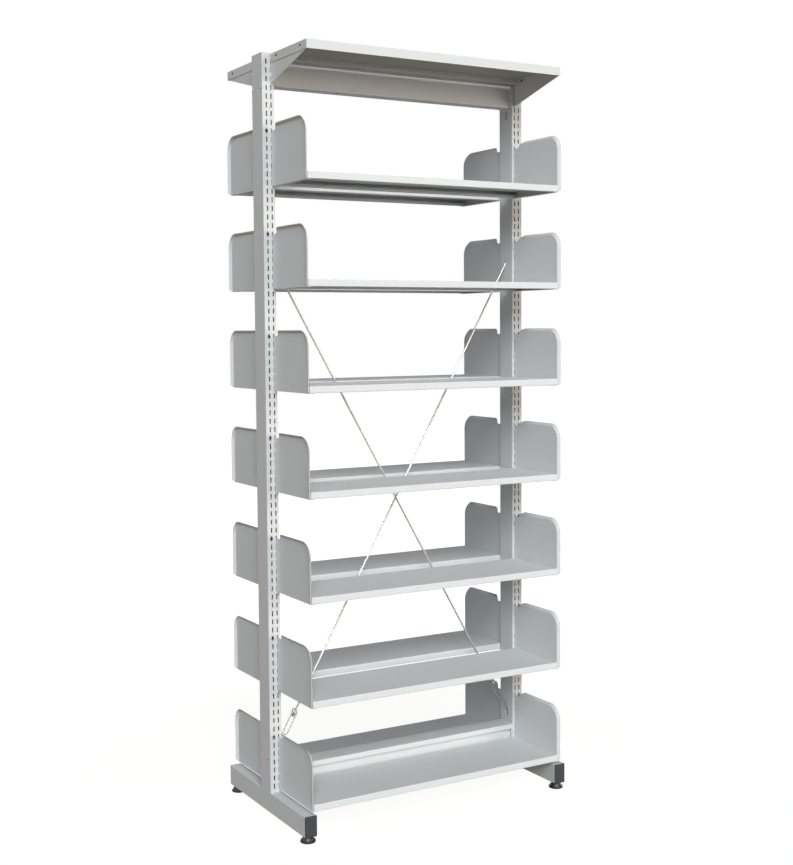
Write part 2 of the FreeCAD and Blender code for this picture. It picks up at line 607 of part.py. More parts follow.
def canopy():
    """Front canopy: top, hemmed front lip, side flanges and a stepped ledge beside the posts."""
    top = CANOPY_TOP
    bottom = top - CANOPY_HEIGHT
    front, step, back = -CANOPY_FRONT, -CANOPY_STEP_LINE, -(POST_FACE + CANOPY_POST_GAP)
    ledge = top - CANOPY_STEP_DROP
    bracket_inner, bracket_outer = bracket_faces()
    half = bracket_inner - CANOPY_SIDE_GAP
    outer = bracket_outer + CANOPY_SIDE_GAP + CANOPY_SHEET
    corner = BEND_RADIUS + CANOPY_SHEET
    path = [(front + CANOPY_HEM, bottom), (front, bottom), (front, top), (step, top), (step, ledge),
            (back, ledge), (back, ledge - CANOPY_LEDGE_LIP)]
    pan = folded_sheet(path, CANOPY_SHEET, -half, half)
    hood = folded_sheet([(front, bottom), (front, top), (step - corner, top)], CANOPY_SHEET, -outer, outer)
    side = box(outer - CANOPY_SHEET, outer, front + corner, back, bottom, top - CANOPY_SHEET / 2)
    lip_joint = front + CANOPY_SHEET / 2
    side = side.fuse(box(outer - CANOPY_SHEET, outer, lip_joint, front + corner, bottom, top - corner))
    for y, z in canopy_screw_places():
        side = side.cut(screw_hole(CANOPY_SCREW_DIAMETER, outer - CANOPY_SHEET, CANOPY_SHEET, y, z))
    return pan.fuse(hood).fuse(side).fuse(to_left(side))


def canopy_bracket():
    """Front right-hand bracket: a triangular plate that hooks into the post under the canopy."""
    inner, outer = bracket_faces()
    back = -(POST_FACE + PANEL_POST_GAP)
    nose = -(CANOPY_FRONT - CANOPY_SHEET - BRACKET_LIP_GAP)
    top = CANOPY_TOP - CANOPY_SHEET - BRACKET_TOP_GAP
    plate = prism_yz([(back, CANOPY_TOP - BRACKET_HEIGHT_AT_POST), (nose, CANOPY_TOP - CANOPY_HEIGHT),
                      (nose, top), (back, top)], inner, outer)
    for count in BRACKET_HOOKS_BELOW_TOP:
        plate = plate.fuse(slot_hook(inner, outer, slot_z(SLOT_COUNT - 1 - count), back - BRACKET_SHEET))
    for y, z in canopy_screw_places():
        plate = plate.cut(screw_hole(CANOPY_SCREW_DIAMETER, inner, BRACKET_SHEET, y, z))
    return plate


def canopy_screws():
    """The screws that hold both canopies to their brackets, as one group."""
    face = bracket_faces()[1] + CANOPY_SIDE_GAP + CANOPY_SHEET
    screws = []
    for y, z in canopy_screw_places():
        screw = pan_screw(V(face, y, z), V(1, 0, 0), CANOPY_SCREW_DIAMETER, CANOPY_SCREW_LENGTH,
                          CANOPY_SCREW_HEAD, SCREW_HEAD_HEIGHT)
        screws += [screw, to_left(screw), to_rear(screw), to_left(to_rear(screw))]
    return Part.makeCompound(screws)


# ---------------------------------------------------------------- crossed tension rods
def brace_ends():
    """Points on the axis of the rod that rises to the right: outside the lower slot, in the upper one."""
    lower = V(-POST_INNER_X + WIRE_BEND_CLEARANCE, BRACE_PLANE,
              lower_brace_z() + BRACE_SLOT_HEIGHT / 2 - WIRE_DIAMETER / 2 - ROD_SLOT_GAP)
    return lower, V(POST_INNER_X, BRACE_PLANE, upper_brace_z() - ROD_ENTRY_DROP)


def brace_axis():
    """Unit vector along the rod that rises to the right."""
    lower, upper = brace_ends()
    return (upper - lower).normalize()


def along_brace(distance, across=0.0, behind=0.0):
    """Point at a distance from the lower bend, moved across the rod's axis in its plane and behind it."""
    axis = brace_axis()
    return brace_ends()[0] + axis * distance + V(axis.z, 0, -axis.x) * across + V(0, behind, 0)


def brace_rod():
    """Tension rod: its top hooks into the right-hand post, its threaded end passes the stirrup's nut."""
    upper = brace_ends()[1]
    axis = brace_axis()
    into_post = POST_WALL + HOOK_WALL_GAP + ROD_DIAMETER / 2
    inside = upper + axis * (into_post / axis.x)
    shoulder = along_brace(STIRRUP_HEAD + ROD_THREAD_ABOVE)
    end = along_brace(STIRRUP_HEAD - STIRRUP_PLATE - NUT_SEAT_GAP - NUT_HEIGHT - ROD_TAIL)
    bar = bent_wire([shoulder, inside, inside + V(0, 0, BRACE_HOOK_RISE)], ROD_DIAMETER)
    return bar.fuse(rod_between(end, shoulder, ROD_THREAD_DIAMETER))


def tension_stirrup():
    """Wire loop that hooks into the left-hand post and carries the drilled plate for the tension nut."""
    lower = brace_ends()[0]
    into_post = WIRE_BEND_CLEARANCE + POST_WALL + HOOK_WALL_GAP + WIRE_DIAMETER / 2
    inside = lower - V(into_post, 0, 0)
    left_shoulder = along_brace(STIRRUP_CROWN_START, -STIRRUP_SPREAD)
    right_shoulder = along_brace(STIRRUP_CROWN_START, STIRRUP_SPREAD)
    toe = along_brace(STIRRUP_TOE, STIRRUP_SPREAD)
    long_leg = bent_wire([inside + V(0, 0, BRACE_HOOK_RISE), inside, lower,
                          along_brace(STIRRUP_KNEE, -STIRRUP_KNEE_OFFSET), left_shoulder], WIRE_DIAMETER)
    toe_end = along_brace(STIRRUP_TOE, STIRRUP_SPREAD - STIRRUP_TOE_LENGTH)
    short_leg = bent_wire([right_shoulder, toe, toe_end], WIRE_DIAMETER)
    loop = long_leg.fuse(short_leg)
    for shoulder in (left_shoulder, right_shoulder):
        loop = loop.fuse(Part.makeSphere(WIRE_DIAMETER / 2, shoulder))
    crown = along_brace(STIRRUP_CROWN, 0.0, STIRRUP_CROWN_SETBACK)
    loop = loop.fuse(bowed_wire(left_shoulder, crown, right_shoulder, WIRE_DIAMETER))
    width = 2 * STIRRUP_SPREAD + WIRE_DIAMETER
    plate = Part.makeBox(width, STIRRUP_PLATE_DEPTH, STIRRUP_PLATE,
                         V(-width / 2, -STIRRUP_PLATE_DEPTH / 2, 0))
    plate = plate.cut(Part.makeCylinder(ROD_THREAD_DIAMETER / 2 + ROD_HOLE_GAP, STIRRUP_PLATE + 2 * OVERCUT,
                                        V(0, 0, -OVERCUT)))
    plate.Placement = FreeCAD.Placement(along_brace(STIRRUP_HEAD - STIRRUP_PLATE),
                                        FreeCAD.Rotation(V(0, 0, 1), brace_axis()))
    return loop.fuse(plate)


def tension_nut():
    """Hexagon nut on the threaded end of the rod, drawn up under the stirrup's drilled plate."""
    base = along_brace(STIRRUP_HEAD - STIRRUP_PLATE - NUT_SEAT_GAP - NUT_HEIGHT)
    axis = brace_axis()
    nut = hexagon(base, axis, NUT_ACROSS_FLATS, NUT_HEIGHT)
    bore = Part.makeCylinder(ROD_THREAD_DIAMETER / 2 + ROD_HOLE_GAP, NUT_HEIGHT + 2 * OVERCUT,
                             base - axis * OVERCUT, axis)
    return nut.cut(bore)


def turned(shape):
    """Shape turned half a turn about Z: the second rod crosses the first in the front plane."""
    return shape.rotated(V(0, 0, 0), V(0, 0, 1), 180)


# ---------------------------------------------------------------- the assembly
def build():
    """All nodes of the bay as a dictionary of name and shape."""
    right_post = post(1)
    nodes = {"post_right": right_post, "post_left": turned(right_post), "post_screws": post_screws()}
    nodes["foot_right"] = foot()
    nodes["foot_left"] = to_left(foot())
    for name, piece in (("foot_cap", foot_cap()), ("leveller", leveller())):
        nodes[name + "_front_right"] = piece
        nodes[name + "_front_left"] = to_left(piece)
        nodes[name + "_rear_right"] = to_rear(piece)
        nodes[name + "_rear_left"] = to_left(to_rear(piece))
    nodes["weld_nuts"] = weld_nuts()
    nodes["top_beam"] = beam_tube(top_beam_z())
    nodes["bottom_beam"] = bottom_beam()
    nodes["beam_screws"] = beam_screws()
    for level in range(LEVELS):
        number = str(level + 1)
        nodes["shelf_front_" + number] = tray(level)
        nodes["shelf_rear_" + number] = to_rear(tray(level))
        nodes["end_panels_front_" + number] = end_panels(level)
        nodes["end_panels_rear_" + number] = to_rear(end_panels(level))
    nodes["canopy_front"] = canopy()
    nodes["canopy_rear"] = to_rear(canopy())
    bracket = canopy_bracket()
    nodes["canopy_bracket_front_right"] = bracket
    nodes["canopy_bracket_front_left"] = to_left(bracket)
    nodes["canopy_bracket_rear_right"] = to_rear(bracket)
    nodes["canopy_bracket_rear_left"] = to_left(to_rear(bracket))
    nodes["canopy_screws"] = canopy_screws()
    for name, piece in (("brace_rod", brace_rod()), ("tension_stirrup", tension_stirrup()),
                        ("tension_nut", tension_nut())):
        nodes[name + "_left"] = piece
        nodes[name + "_right"] = turned(piece)
    return nodes


os.makedirs("parts", exist_ok=True)
for node, shape in build().items():
    shape.exportStep("parts/" + node + ".step")
    print(node, len(shape.Solids), round(shape.Volume), shape.isValid())
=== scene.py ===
"""Looks of a double-sided library shelving bay: finishes, threads, screws, studio light and camera.

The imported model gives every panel, tray, post and beam at its place. This script paints them with
procedural finishes, replaces the small turned and bent pieces (rods, stirrups, nuts, screws and
levelling feet) by finer ones of the same size, and sets up the studio. All lengths are in metres.
"""

import logging
import math
from dataclasses import dataclass
from enum import Enum
from typing import Iterable, Sequence

import bmesh
import bpy
from bpy.types import Material, Mesh, Node, NodeSocket, Object
from mathutils import Matrix, Vector


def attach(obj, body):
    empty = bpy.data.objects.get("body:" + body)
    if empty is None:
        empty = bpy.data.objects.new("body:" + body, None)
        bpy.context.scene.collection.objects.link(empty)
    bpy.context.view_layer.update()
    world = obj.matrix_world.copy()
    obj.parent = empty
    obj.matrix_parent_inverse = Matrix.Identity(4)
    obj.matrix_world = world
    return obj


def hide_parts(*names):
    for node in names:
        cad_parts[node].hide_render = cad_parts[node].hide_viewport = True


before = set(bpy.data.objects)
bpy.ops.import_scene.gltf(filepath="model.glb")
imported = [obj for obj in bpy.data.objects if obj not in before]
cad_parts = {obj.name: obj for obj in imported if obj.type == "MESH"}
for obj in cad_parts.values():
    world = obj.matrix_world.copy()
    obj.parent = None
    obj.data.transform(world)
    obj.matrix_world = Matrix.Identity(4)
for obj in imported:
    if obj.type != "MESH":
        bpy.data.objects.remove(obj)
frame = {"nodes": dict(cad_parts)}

log = logging.getLogger("library_shelving")

MM = 0.001
FRAME_BODY = "bay_frame"
STUD_X = 444.0 * MM             # middle of the bay to each levelling stud
STUD_Y = 245.25 * MM
SHARP_EDGE = math.radians(35)   # turned pieces are smooth up to this angle
ROUND_PROFILE = 0.5             # a bevel's profile where it is an arc
NOISE_MIDDLE = 0.5
MIX_FACTOR, MIX_FIRST, MIX_SECOND, MIX_RESULT = 0, 6, 7, 2   # colour sockets of a Mix node
WHITE = (1.0, 1.0, 1.0, 1.0)
UPWARDS = Vector((0.0, 0.0, 1.0))
SIGNS = (-1, 1)


# ------------------------------------------------------------------ node trees
class NodeTree:
    """A tree of nodes, with one method that makes every node."""

    def __init__(self, tree: bpy.types.NodeTree) -> None:
        """Wraps a tree of a material, a world or a shape."""
        self.tree = tree

    def node(self, kind: str, settings: dict | None = None, inputs: dict | None = None) -> Node:
        """Adds a node.

        Args:
            kind: The node's type name.
            settings: Properties to set before the sockets.
            inputs: Socket name or number to a value, a Number, a socket or a list of sockets.

        Returns:
            The new node.
        """
        made = self.tree.nodes.new(kind)
        for name, value in (settings or {}).items():
            setattr(made, name, value)
        for key, value in (inputs or {}).items():
            for item in value if isinstance(value, list) else [value]:
                source = item.socket if isinstance(item, Number) else item
                if isinstance(source, NodeSocket):
                    self.tree.links.new(source, made.inputs[key])
                else:
                    made.inputs[key].default_value = source
        return made

    def maths(self, operation: str, first: object, second: object) -> NodeSocket:
        """The result of a Math node on two values or sockets."""
        made = self.node("ShaderNodeMath", {"operation": operation}, {0: first, 1: second})
        return made.outputs[0]

    def mixed_shader(self, amount: object, first: Node, second: Node) -> Node:
        """The first node's shader where amount is 0 and the second's where it is 1."""
        return self.node("ShaderNodeMixShader", None,
                         {0: amount, 1: first.outputs[0], 2: second.outputs[0]})


class Number:
    """A number that varies over a surface: maths on it adds Math nodes to its tree."""

    def __init__(self, tree: NodeTree, socket: NodeSocket) -> None:
        """Wraps one output socket of a tree."""
        self.tree = tree
        self.socket = socket

    def _math(self, operation: str, first: object, second: object) -> "Number":
        """Joins two operands through a Math node."""
        return Number(self.tree, self.tree.maths(operation, first, second))

    def __add__(self, other: object) -> "Number":
        """self + other."""
        return self._math("ADD", self, other)

    __radd__ = __add__

    def __mul__(self, other: object) -> "Number":
        """self * other."""
        return self._math("MULTIPLY", self, other)

    __rmul__ = __mul__

    def __sub__(self, other: object) -> "Number":
        """self - other."""
        return self._math("SUBTRACT", self, other)

    def __rsub__(self, other: object) -> "Number":
        """other - self."""
        return self._math("SUBTRACT", other, self)

    def __gt__(self, other: object) -> "Number":
        """1 where self is over other, else 0."""
        return self._math("GREATER_THAN", self, other)

    def __lt__(self, other: object) -> "Number":
        """1 where self is under other, else 0."""
        return self._math("LESS_THAN", self, other)

    def size(self) -> "Number":
        """The number without its sign."""
        return self._math("ABSOLUTE", self, 0.0)


class PaintTree(NodeTree):
    """A material and its node tree, with the patterns that the finishes share."""

    def __init__(self, name: str) -> None:
        """Starts an empty material.

        Args:
            name: The material's name.
        """
        self.material = bpy.data.materials.new(name)
        self.material.use_nodes = True
        super().__init__(self.material.node_tree)
        self.tree.nodes.clear()

    def place(self) -> NodeSocket:
        """Object coordinates, in metres."""
        return self.node("ShaderNodeTexCoord").outputs["Object"]

    def axes(self) -> tuple[Number, ...]:
        """The object coordinates X, Y and Z as numbers."""
        parts = self.node("ShaderNodeSeparateXYZ", None, {"Vector": self.place()}).outputs
        return tuple(Number(self, parts[axis]) for axis in "XYZ")

    def drawn_place(self, stretch: float, lean: float) -> NodeSocket:
        """Object coordinates for a pattern that runs along a leaning rod.

        Args:
            stretch: Scale along the rod, small for long lines.
            lean: The rod's angle from upright, about Y, in radians.

        Returns:
            A socket with the turned and scaled coordinates.
        """
        turned = self.node("ShaderNodeMapping", {"vector_type": "POINT"}, {
            "Vector": self.place(), "Rotation": (0.0, lean, 0.0), "Scale": (1.0, 1.0, stretch)})
        return turned.outputs["Vector"]

    def noise(self, place: NodeSocket, cells_per_metre: float, detail: float) -> Number:
        """A smooth random number from 0 to 1.

        Args:
            place: Where the pattern is read.
            cells_per_metre: How fine the pattern is.
            detail: Octaves of finer pattern on top.

        Returns:
            The number.
        """
        made = self.node("ShaderNodeTexNoise", {"noise_dimensions": "3D"},
                         {"Vector": place, "Scale": cells_per_metre, "Detail": detail})
        return Number(self, made.outputs["Fac"])

    def mixed(self, amount: Number, first: object, second: object) -> NodeSocket:
        """The first colour where amount is 0 and the second where it is 1."""
        made = self.node("ShaderNodeMix", {"data_type": "RGBA", "blend_type": "MIX"},
                         {MIX_FACTOR: amount, MIX_FIRST: first, MIX_SECOND: second})
        return made.outputs[MIX_RESULT]

    def shaded(self, colour: tuple, amount: Number, darker: float) -> NodeSocket:
        """A colour that is multiplied by darker where amount is 1."""
        return self.mixed(amount, (*colour, 1.0), (*[part * darker for part in colour], 1.0))

    def smooth_step(self, value: object, start: float, end: float,
                    falling: bool = False) -> NodeSocket:
        """A smooth step between two values.

        Args:
            value: What is measured.
            start: Where the step begins.
            end: Where it ends.
            falling: Whether it goes from 1 to 0 instead of from 0 to 1.

        Returns:
            A socket from 0 to 1.
        """
        low, high = (1.0, 0.0) if falling else (0.0, 1.0)
        made = self.node("ShaderNodeMapRange", {"interpolation_type": "SMOOTHSTEP"}, {
            "Value": value, "From Min": start, "From Max": end, "To Min": low, "To Max": high})
        return made.outputs[0]

    def bump(self, height: Number, distance: float) -> NodeSocket:
        """A bumped normal from a height between 0 and 1 and the real height in metres."""
        made = self.node("ShaderNodeBump", None, {"Height": height, "Distance": distance})
        return made.outputs["Normal"]

    def close(self, surface: Node) -> Material:
        """Ends the tree in a shader node and returns the material."""
        self.node("ShaderNodeOutputMaterial", None, {"Surface": surface.outputs[0]})
        return self.material

    def finish(self, inputs: dict) -> Material:
        """Ends the tree in a Principled shader with these values and links."""
        return self.close(self.node("ShaderNodeBsdfPrincipled", None, inputs))


# ------------------------------------------------------------------ finishes
@dataclass(frozen=True)
class PowderCoat:
    """Matt powder coat: fine orange peel, with a faint drift of tone over each sheet."""

    name: str
    colour: tuple[float, float, float]
    roughness: float = 0.6
    specular: float = 0.08
    peel_per_metre: float = 620.0
    peel_height: float = 0.02 * MM
    peel_share: float = 0.8
    peel_roughness: float = 0.10
    drift_per_metre: float = 3.2
    drift_share: float = 0.75
    drift_roughness: float = 0.06
    speckle_per_metre: float = 2600.0
    darkest: float = 0.955

    def colour_at(self, paint: PaintTree, tone: Number) -> NodeSocket:
        """The coat's colour, a little darker where tone is 1."""
        return paint.shaded(self.colour, tone, self.darkest)

    def material(self) -> Material:
        """Builds the finish.

        Returns:
            The material.
        """
        paint = PaintTree(self.name)
        place = paint.place()
        drift = paint.noise(place, self.drift_per_metre, detail=3.0)
        speckle = paint.noise(place, self.speckle_per_metre, detail=1.0)
        peel = paint.noise(place, self.peel_per_metre, detail=2.0)
        tone = drift * self.drift_share + speckle * (1.0 - self.drift_share)
        height = peel * self.peel_share + speckle * (1.0 - self.peel_share)
        return paint.finish({
            "Base Color": self.colour_at(paint, tone),
            "Roughness": (self.roughness + (peel - NOISE_MIDDLE) * self.peel_roughness
                          + (drift - NOISE_MIDDLE) * self.drift_roughness),
            "Specular IOR Level": self.specular,
            "Normal": paint.bump(height, self.peel_height),
        })


@dataclass(frozen=True)
class TubeCoat(PowderCoat):
    """Powder coat with painted shade: a near-black colour inside the hollow posts, seen through the
    slots.
    """

    # painted shade: near-black inside the hollow posts, for the shade seen through the slots
    painted_tube_shade: tuple[float, float, float] = (0.02, 0.02, 0.022)
    tube_from: float = 427.2 * MM
    tube_to: float = 460.8 * MM
    tube_half_depth: float = 33.9 * MM
    feet_below: float = 82.0 * MM
    lid_above: float = 2274.5 * MM

    def colour_at(self, paint: PaintTree, tone: Number) -> NodeSocket:
        """The coat's colour outside and painted shade inside the posts.

        Args:
            paint: The finish's tree.
            tone: How much darker the coat is at each place.

        Returns:
            A socket with the colour.
        """
        x, y, z = paint.axes()
        inside = (x.size() > self.tube_from) * (x.size() < self.tube_to)
        inside = inside * (y.size() < self.tube_half_depth)
        inside = inside * (z > self.feet_below) * (z < self.lid_above)
        # painted shade inside the posts, the coat elsewhere
        return paint.mixed(inside, super().colour_at(paint, tone), (*self.painted_tube_shade, 1.0))


@dataclass(frozen=True)
class CanopyCoat(PowderCoat):
    """Powder coat with painted shade: a warm darker colour under the canopy's top, and half of it
    under the ledge.
    """

    # painted shade: a warm darker colour under the canopy's top, for the shade and warm bounce light
    # there
    painted_underside_shade: tuple[float, float, float] = (0.44, 0.405, 0.36)
    pan_half: float = 433.0 * MM
    lip_y: float = 273.4 * MM
    step_y: float = 58.5 * MM
    sheet_z: float = 2271.1 * MM
    ledge_z: float = 2256.2 * MM
    ledge_share: float = 0.5

    def colour_at(self, paint: PaintTree, tone: Number) -> NodeSocket:
        """The coat's colour outside, painted warm shade under the top and half of it under the
        ledge.

        Args:
            paint: The finish's tree.
            tone: How much darker the coat is at each place.

        Returns:
            A socket with the colour.
        """
        x, y, z = paint.axes()
        top = (x.size() < self.pan_half) * (y.size() > self.step_y)
        top = top * (y.size() < self.lip_y) * (z < self.sheet_z)
        ledge = (y.size() < self.step_y) * (z < self.ledge_z) * self.ledge_share
        # painted shade under the canopy's top, and half of it under the ledge
        return paint.mixed(top + ledge, super().colour_at(paint, tone), (*self.painted_underside_shade, 1.0))


@dataclass(frozen=True)
class DrawnSteel:
    """Bright drawn rod: lengthwise drawing lines and a thin zinc bloom."""

    name: str
    colour: tuple[float, float, float]
    lean: float
    roughness: float = 0.38
    line_per_metre: float = 2400.0
    line_stretch: float = 0.02
    line_height: float = 0.01 * MM
    line_roughness: float = 0.14
    bloom_per_metre: float = 55.0
    bloom_roughness: float = 0.08
    darkest: float = 0.86

    def material(self) -> Material:
        """Builds the finish of a rod that leans from upright, about Y.

        Returns:
            The material.
        """
        paint = PaintTree(self.name)
        along = paint.drawn_place(self.line_stretch, self.lean)
        lines = paint.noise(along, self.line_per_metre, detail=2.0)
        bloom = paint.noise(paint.place(), self.bloom_per_metre, detail=3.0)
        return paint.finish({
            "Base Color": paint.shaded(self.colour, bloom, self.darkest),
            "Metallic": 1.0,
            "Roughness": (self.roughness + lines * self.line_roughness
                          + bloom * self.bloom_roughness),
            "Normal": paint.bump(lines, self.line_height),
        })


@dataclass(frozen=True)
class PlatedSteel:
    """Plated or blackened fastener: metal with a cloudy passivation."""

    name: str
    colour: tuple[float, float, float]
    roughness: float = 0.32
    cloud_per_metre: float = 420.0
    cloud_roughness: float = 0.16
    grain_per_metre: float = 3500.0
    grain_height: float = 0.006 * MM
    darkest: float = 0.78

    def material(self) -> Material:
        """Builds the finish.

        Returns:
            The material.
        """
        paint = PaintTree(self.name)
        cloud = paint.noise(paint.place(), self.cloud_per_metre, detail=3.0)
        grain = paint.noise(paint.place(), self.grain_per_metre, detail=1.0)
        return paint.finish({
            "Base Color": paint.shaded(self.colour, cloud, self.darkest),
            "Metallic": 1.0,
            "Roughness": self.roughness + cloud * self.cloud_roughness,
            "Normal": paint.bump(grain, self.grain_height),
        })


@dataclass(frozen=True)
class MouldedPlastic:
    """Spark-textured moulded plastic with slightly scuffed patches."""

    name: str
    colour: tuple[float, float, float]
    roughness: float = 0.5
    spark_per_metre: float = 1500.0
    spark_height: float = 0.03 * MM
    scuff_per_metre: float = 90.0
    scuff_roughness: float = 0.2
    darkest: float = 0.72

    def material(self) -> Material:
        """Builds the finish.

        Returns:
            The material.
        """
        paint = PaintTree(self.name)
        place = paint.place()
        spark = paint.noise(place, self.spark_per_metre, detail=2.0)
        scuff = paint.noise(place, self.scuff_per_metre, detail=4.0)
        return paint.finish({
            "Base Color": paint.shaded(self.colour, scuff, self.darkest),
            "Roughness": self.roughness + (scuff - NOISE_MIDDLE) * self.scuff_roughness,
            "Normal": paint.bump(spark, self.spark_height),
        })


class Tone(Enum):
    """Colours of the finishes, as linear red, green and blue."""

    FRAME_GREY = (0.645, 0.652, 0.658)
    SHELF_GREY = (0.680, 0.692, 0.706)
    CANOPY_GREY = (0.650, 0.662, 0.662)
    BRIGHT_STEEL = (0.66, 0.66, 0.645)
    ZINC = (0.50, 0.505, 0.50)
    BLACK_OXIDE = (0.030, 0.030, 0.032)
    CAP_SLATE = (0.050, 0.052, 0.066)
    FOOT_BLACK = (0.016, 0.016, 0.018)
    FLOOR = (0.30, 0.27, 0.23)


# ------------------------------------------------------------------ shapes by rule
class ShapeTree(NodeTree):
    """A geometry node tree with named size inputs, made once and turned into plain meshes."""

    def __init__(self, name: str, inputs: dict[str, float]) -> None:
        """Starts a tree, whose last input is the finish.

        Args:
            name: The tree's name.
            inputs: Size input name to its default, a whole number for a count.
        """
        super().__init__(bpy.data.node_groups.new(name, "GeometryNodeTree"))
        kinds = {label: "NodeSocketInt" if isinstance(value, int) else "NodeSocketFloat"
                 for label, value in inputs.items()}
        face = self.tree.interface
        face.new_socket("Geometry", in_out="INPUT", socket_type="NodeSocketGeometry")
        self.sockets = {}
        for label, kind in (*kinds.items(), ("Finish", "NodeSocketMaterial")):
            socket = face.new_socket(label, in_out="INPUT", socket_type=kind)
            self.sockets[label] = socket.identifier
            if label in inputs:
                socket.default_value = inputs[label]
        face.new_socket("Geometry", in_out="OUTPUT", socket_type="NodeSocketGeometry")
        self.source = self.node("NodeGroupInput")

    def size(self, label: str) -> NodeSocket:
        """The socket of a named input."""
        return self.source.outputs[label]

    def half(self, value: object, sign: int = 1) -> NodeSocket:
        """Half of a value or socket, or minus half of it."""
        return self.maths("DIVIDE", value, 2.0 * sign)

    def vector(self, x: object, y: object, z: object) -> NodeSocket:
        """Joins three values or sockets into a vector."""
        return self.node("ShaderNodeCombineXYZ", None, {"X": x, "Y": y, "Z": z}).outputs[0]

    def moved(self, shape: NodeSocket, shift: object = (0.0, 0.0, 0.0),
              scale: object = (1.0, 1.0, 1.0)) -> NodeSocket:
        """Moves a shape and scales it about the origin."""
        values = {"Geometry": shape, "Translation": shift, "Scale": scale}
        return self.node("GeometryNodeTransform", None, values).outputs[0]

    def block(self, size: NodeSocket, middle: object) -> NodeSocket:
        """A cutter block with a size and a middle."""
        cube = self.node("GeometryNodeMeshCube", None, {"Size": size})
        return self.moved(cube.outputs["Mesh"], middle)

    def bar(self, sides: int, radius: object, length: object) -> NodeSocket:
        """A prism or round bar about the origin."""
        return self.node("GeometryNodeMeshCylinder", None, {
            "Vertices": sides, "Radius": radius, "Depth": length}).outputs["Mesh"]

    def ball(self, segments: int, rings: int, radius: object) -> NodeSocket:
        """A ball about the origin."""
        return self.node("GeometryNodeMeshUVSphere", None, {
            "Segments": segments, "Rings": rings, "Radius": radius}).outputs["Mesh"]

    def swept(self, line: Node, sides: object, radius: object) -> NodeSocket:
        """A round profile of a radius, swept along a curve."""
        ring = self.node("GeometryNodeCurvePrimitiveCircle", None,
                         {"Resolution": sides, "Radius": radius})
        return self.node("GeometryNodeCurveToMesh", None, {
            "Curve": line.outputs[0], "Profile Curve": ring.outputs[0],
            "Fill Caps": True}).outputs[0]

    def joined(self, *shapes: NodeSocket) -> NodeSocket:
        """Several shapes as one."""
        return self.node("GeometryNodeJoinGeometry", None, {0: list(shapes)}).outputs[0]

    def cut(self, shape: NodeSocket, cutter: NodeSocket, crossing: bool = False) -> NodeSocket:
        """A shape less a cutter, whose own pieces may be crossing each other."""
        return self.node("GeometryNodeMeshBoolean", {"operation": "DIFFERENCE", "solver": "EXACT"}, {
            "Mesh 1": shape, "Mesh 2": cutter, "Self Intersection": crossing}).outputs[0]

    def smooth(self, shape: NodeSocket) -> NodeSocket:
        """Shades a shape smooth."""
        return self.node("GeometryNodeSetShadeSmooth", None, {"Geometry": shape}).outputs[0]

    def placed(self, shape: NodeSocket) -> NodeSocket:
        """Copies a shape to every seed point.

        Args:
            shape: The shape, its Z towards the direction it will face.

        Returns:
            A copy at every point, its Z along the point's attribute "facing".
        """
        facing = self.node("GeometryNodeInputNamedAttribute", {"data_type": "FLOAT_VECTOR"},
                           {"Name": "facing"})
        turn = self.node("FunctionNodeAlignRotationToVector", {"axis": "Z"},
                         {"Vector": facing.outputs[0]})
        return self.node("GeometryNodeInstanceOnPoints", None, {
            "Points": self.size("Geometry"), "Instance": shape,
            "Rotation": turn.outputs[0]}).outputs[0]

    def close(self, shape: NodeSocket) -> "ShapeTree":
        """Ends the tree in Realize Instances and Set Material.

        Args:
            shape: What the tree makes.

        Returns:
            The tree itself.
        """
        real = self.node("GeometryNodeRealizeInstances", None, {"Geometry": shape})
        painted = self.node("GeometryNodeSetMaterial", None,
                            {"Geometry": real.outputs[0], "Material": self.size("Finish")})
        self.node("NodeGroupOutput", None, {"Geometry": painted.outputs[0]})
        return self

    def make(self, name: str, seed: Mesh, values: dict[str, object]) -> Object:
        """Runs the tree on a seed mesh and keeps the result as a plain mesh.

        Args:
            name: The new piece's name.
            seed: The mesh that the tree starts from.
            values: Input name to its value.

        Returns:
            An object at the origin with no modifier.
        """
        carrier = add_object(name + "_seed", seed)
        modifier = carrier.modifiers.new("shape", "NODES")
        modifier.node_group = self.tree
        for label, value in values.items():
            modifier[self.sockets[label]] = value
        graph = bpy.context.evaluated_depsgraph_get()
        mesh = bpy.data.meshes.new_from_object(carrier.evaluated_get(graph))
        carrier.modifiers.clear()
        bpy.data.objects.remove(carrier)
        mesh.name = name
        return add_object(name, mesh)


def wire_tree() -> ShapeTree:
    """A round wire or rod along the seed's line, with every corner bent to a radius.

    Returns:
        The tree.
    """
    bend_steps = 10
    tree = ShapeTree("wire_along_line", {"Diameter": 3.5 * MM, "Bend": 4.0 * MM, "Sides": 20})
    line = tree.node("GeometryNodeMeshToCurve", None, {"Mesh": tree.size("Geometry")})
    bent = tree.node("GeometryNodeFilletCurve", {"mode": "POLY"}, {
        "Curve": line.outputs[0], "Count": bend_steps, "Radius": tree.size("Bend"),
        "Limit Radius": True})
    wire = tree.swept(bent, tree.size("Sides"), tree.half(tree.size("Diameter")))
    return tree.close(tree.smooth(wire))


